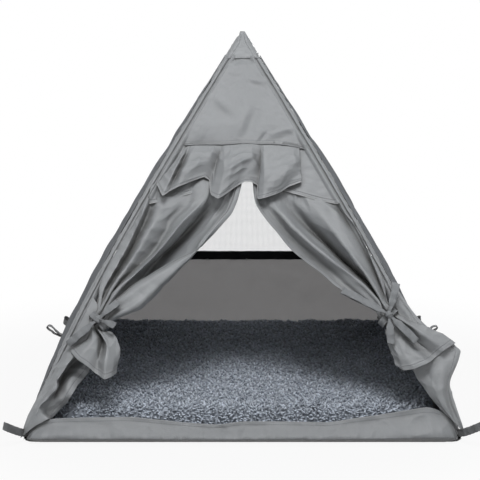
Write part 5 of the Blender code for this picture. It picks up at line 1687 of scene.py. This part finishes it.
def webbing_loops():
    """The webbing loops at the four corners and half way along both sides."""
    for k, (corner, (sx, sy)) in enumerate(CORNERS.items()):
        node_name = f"peg_loop_{corner}"
        level = np.array((sx, sy, 0.0)) / math.sqrt(2)
        reach = (SLEEVE_RADIUS + LOOP_THICKNESS + 2 * GAP) * 1.08
        root = pole_point(sx, sy, np.array(PEG_LOOP_HEIGHT)) + level * reach
        ahead = level * math.cos(LOOP_TILT) + UP * math.sin(LOOP_TILT)
        webbing_loop(node_name, root, ahead, UP, LOOP_LENGTH, 301 + k)
    for word, face, billow in (("left", LEFT, LEFT_BILLOW), ("right", RIGHT, RIGHT_BILLOW)):
        ahead = face.outward * math.cos(SIDE_LOOP_TILT) + UP * math.sin(SIDE_LOOP_TILT)
        out = PANEL_OUT + billow * wall_swell(0.0, SIDE_LOOP_HEIGHT) + 0.0026
        root = face.point(0.0, SIDE_LOOP_HEIGHT, out)
        webbing_loop(f"side_loop_{word}", root, ahead, face.along, SIDE_LOOP_LENGTH, 311)


# Pad
PAD_MARGIN = 0.026
PAD_HEIGHT = 0.0405
PAD_CROWN = 0.006
PAD_ROLL = 0.016
PAD_FLAT_SHARE = 0.6
PAD_SIDE_PULL = 0.005
PAD_CORNER_POWER = 12
PAD_FLAT_LINES = 0.84
PAD_RIM_LINES = 0.16
PLUSH_INSET = 0.0016
FILLING_INSET = 0.0072
UNDERSIDE_INSET = 0.0062
PILE = 0.0050
TUFT_PITCH = 0.0048
TUFT_WIDTH = 0.00125


def from_middle(a, b):
    """How far a place of a square is from its middle: almost 0 there, and 1 on the square's sides."""
    return np.maximum(np.maximum(np.abs(a), np.abs(b)), 1e-6)


def pad_rim(a, b, inset):
    """A point of the pad's rim for a point a, b of a square's edge: rounded corners, drawn-in sides."""
    rounding = (np.abs(a) ** PAD_CORNER_POWER + np.abs(b) ** PAD_CORNER_POWER) ** (-1 / PAD_CORNER_POWER)
    half = BASE / 2 - PAD_MARGIN - inset
    x = half * a * rounding - PAD_SIDE_PULL * (1 - b * b) * a**3
    y = half * b * rounding - PAD_SIDE_PULL * (1 - a * a) * b**3
    return x, y


def pad_dome(a, b, low, high, inset):
    """Points of the pad's upper surface, for a and b from -1 to 1."""
    across = from_middle(a, b)
    x, y = pad_rim(a / across, b / across, inset)
    inner = 1 - PAD_ROLL / np.hypot(x, y)
    turn = np.pi / 2 * np.clip((across - PAD_FLAT_SHARE) / (1 - PAD_FLAT_SHARE), 0, 1)
    outer = across > PAD_FLAT_SHARE
    reach = np.where(outer, inner + (1 - inner) * np.sin(turn), inner * across / PAD_FLAT_SHARE)
    crown = PAD_CROWN * (1 - np.clip(across / PAD_FLAT_SHARE, 0, 1) ** 2)
    z = np.where(outer, low + (high - low) * np.cos(turn), high + crown)
    return np.stack((x * reach, y * reach, z), axis=-1)


def pad_places(count):
    """The pad's grid as places from -1 to 1, across and along, at about even steps on the cloth."""
    share = np.linspace(-1, 1, count)
    size = np.abs(share)
    rim = PAD_FLAT_SHARE + (size - PAD_FLAT_LINES) / PAD_RIM_LINES * (1 - PAD_FLAT_SHARE)
    flat = size * PAD_FLAT_SHARE / PAD_FLAT_LINES
    places = np.sign(share) * np.where(size < PAD_FLAT_LINES, flat, rim)
    return np.meshgrid(places, places)


def pad_plush():
    """The cover's plush: a lumpy base and its pile."""
    count = 300
    a, b = pad_places(count)
    grid = pad_dome(a, b, FLOOR_TOP + 0.0025, PAD_HEIGHT - 0.0026, PLUSH_INSET)
    normals = grid_normals(grid)
    normals = normals * np.where(normals[..., 2:] < -0.2, -1, 1)
    x, y = grid[..., 0], grid[..., 1]
    lumps = 0.0007 * ripples(x, y, 0.007, 401, 24) + 0.0007 * ripples(x, y, 0.016, 402, 18)
    lumps = lumps + 0.0012 * ripples(x, y, 0.07, 403)
    rim = ease((1 - from_middle(a, b)) / 0.05)
    grid = grid + normals * (lumps * (0.3 + 0.7 * rim))[..., None]
    # The base under the pile is kept dark: painted shade deep in the pile
    light = 0.30 + 0.12 * ripples(x, y, 0.009, 404)
    tint = 0.5 + 0.2 * ripples(x, y, 0.02, 405)
    tone = np.stack((light, tint, a * 0), axis=2)
    base = add_mesh("pad_plush_base", grid, grid_faces(count, count), looks["plush"])
    point_values(base, "tone", tone)
    thickened(base, 0.0015)
    placed(base, "pad", "pad_plush_top")

    placed(tufts("pad_plush_pile", grid, normals), "pad")


def pad_filling():
    """The filling under the plush, closed underneath."""
    count = 90
    a, b = pad_places(count)
    top = pad_dome(a, b, FLOOR_TOP + 0.0030, PAD_HEIGHT - FILLING_INSET, FILLING_INSET)
    top[..., 2] += 0.0006 * ripples(top[..., 0], top[..., 1], 0.03, 411) - 0.0012
    points = list(top.reshape(-1, 3))
    ring = [c for c in range(count)] + [r * count + count - 1 for r in range(1, count)]
    ring += [(count - 1) * count + c for c in range(count - 2, -1, -1)]
    ring += [r * count for r in range(count - 2, 0, -1)]
    faces = grid_faces(count, count)
    faces.append(tuple(reversed(ring)))
    filling = add_mesh("pad_batting", points, faces, looks["filling"])
    placed(filling, "pad", "pad_filling")


def pad_underside():
    """The cloth under the filling."""
    a, b = np.meshgrid(np.linspace(-1, 1, 120), np.linspace(-1, 1, 120))
    across = from_middle(a, b)
    x, y = pad_rim(a / across, b / across, UNDERSIDE_INSET)
    z = FLOOR_TOP + 0.0006 + 0.00012 * ripples(x * across, y * across, 0.04, 421)
    grid = np.stack((x * across, y * across, z), axis=-1)
    under = cloth("pad_underside_cloth", grid, looks["cloth"], body="pad", node_name="pad_underside")


# Rings of a tuft below its tip: share of its height, lean, thickness and lightness, which paints shade
# low in the pile and light higher up
TUFT_STATIONS = [(-0.15, 0.0, 1.0, 0.0), (0.45, 0.18, 1.05, 0.35), (0.82, 0.55, 0.75, 0.75)]


def tufts(name, grid, normals):
    """The pile: short curled tufts, each a bent cone, that lean together in patches."""
    draw = np.random.default_rng(431)
    rows, columns = grid.shape[:2]
    run_x, run_y = grid_runs(grid)
    across = np.arange(TUFT_PITCH / 2, run_x[-1], TUFT_PITCH)
    along = np.arange(TUFT_PITCH / 2, run_y[-1], TUFT_PITCH)
    u, v = (m.ravel() for m in np.meshgrid(across, along))
    u = np.interp(u + draw.uniform(-0.5, 0.5, u.size) * TUFT_PITCH, run_x, np.arange(columns))
    v = np.interp(v + draw.uniform(-0.5, 0.5, v.size) * TUFT_PITCH, run_y, np.arange(rows))
    c, r = np.clip(u.astype(int), 0, columns - 2), np.clip(v.astype(int), 0, rows - 2)
    s, t = (u - c)[:, None], (v - r)[:, None]

    def at(field):
        low = field[r, c] * (1 - s) + field[r, c + 1] * s
        return low * (1 - t) + (field[r + 1, c] * (1 - s) + field[r + 1, c + 1] * s) * t

    root, up = at(grid), unit(at(normals))
    count = len(root)
    heading = 2.6 * ripples(root[:, 0], root[:, 1], 0.030, 432) + draw.normal(0, 0.8, count)
    lean = np.stack((np.cos(heading), np.sin(heading), np.zeros(count)), axis=1)
    lean = unit(lean - up * np.sum(lean * up, axis=1, keepdims=True))
    side = np.cross(up, lean)
    length = PILE * draw.uniform(0.75, 1.35, count)
    width = TUFT_WIDTH * draw.uniform(0.7, 1.4, count)
    low_rim = root[:, 2] < 0.008
    length = np.where(low_rim, length * 0.5, length)
    curl = draw.uniform(0.5, 1.2, count)
    points, tone = [], []
    tint = draw.uniform(0, 1, count) ** 1.6
    sides = 4
    for rise, reach, fat, shade in TUFT_STATIONS:
        centre = root + up * (length * rise)[:, None] + lean * (length * reach * curl)[:, None]
        for k in range(sides):
            angle = math.tau * k / sides
            ring = side * math.cos(angle) + lean * math.sin(angle)
            points.append(centre + ring * (width * fat)[:, None])
            tone.append(np.stack((np.full(count, shade), tint, np.zeros(count)), axis=1))
    tip = root + up * (length * 0.92)[:, None] + lean * (length * curl * 0.95)[:, None]
    points.append(tip)
    # The tip is the lightest part: painted light on top of the pile
    tone.append(np.stack((np.ones(count), tint, np.zeros(count)), axis=1))
    per = len(points)
    points = np.stack(points, axis=1).reshape(-1, 3)
    points[:, 2] = np.maximum(points[:, 2], FLOOR_TOP + 0.0006)
    tone = np.stack(tone, axis=1).reshape(-1, 3)
    pattern = []
    for section in range(2):
        for k in range(sides):
            one, two = section * sides + k, section * sides + (k + 1) % sides
            pattern.append((one, two, two + sides, one + sides))
    for k in range(sides):
        pattern.append((2 * sides + k, 2 * sides + (k + 1) % sides, 3 * sides))
    pattern.append(tuple(reversed(range(sides))))
    faces = [tuple(i + j * per for i in face) for j in range(count) for face in pattern]
    made = add_mesh(name, points, faces, looks["plush"])
    point_values(made, "tone", tone)
    return made


def hidden_hardware():
    """Poles, ferrules, foot caps and hub stay as they are, under the cloth, with their own materials."""
    for name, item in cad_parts.items():
        for start, look in (("pole_lower", "pole"), ("pole_upper", "pole"), ("pole_ferrule", "steel"),
                            ("foot_cap", "rubber"), ("top_hub", "hub")):
            if name.startswith(start):
                item.material_slots[0].material = looks[look]


floor_sheet()
side_walls()
back_wall()
window_tape()
window_net()
sleeves()
cap()
gable()
sill()
curtain("left", -1, LEFT_TIE, LEFT_CURTAIN, 101)
curtain("right", 1, RIGHT_TIE, RIGHT_CURTAIN, 111)
skirt("left", -1, LEFT_TIE, LEFT_SKIRT, 121)
skirt("right", 1, RIGHT_TIE, RIGHT_SKIRT, 127)
flap("left", LEFT_FLAP, 131)
flap("right", RIGHT_FLAP, 137)
valance()
tie("left", -1, LEFT_TIE, LEFT_ENDS, 141)
tie("right", 1, RIGHT_TIE, RIGHT_ENDS, 151)
webbing_loops()
pad_plush()
pad_filling()
pad_underside()
hidden_hardware()
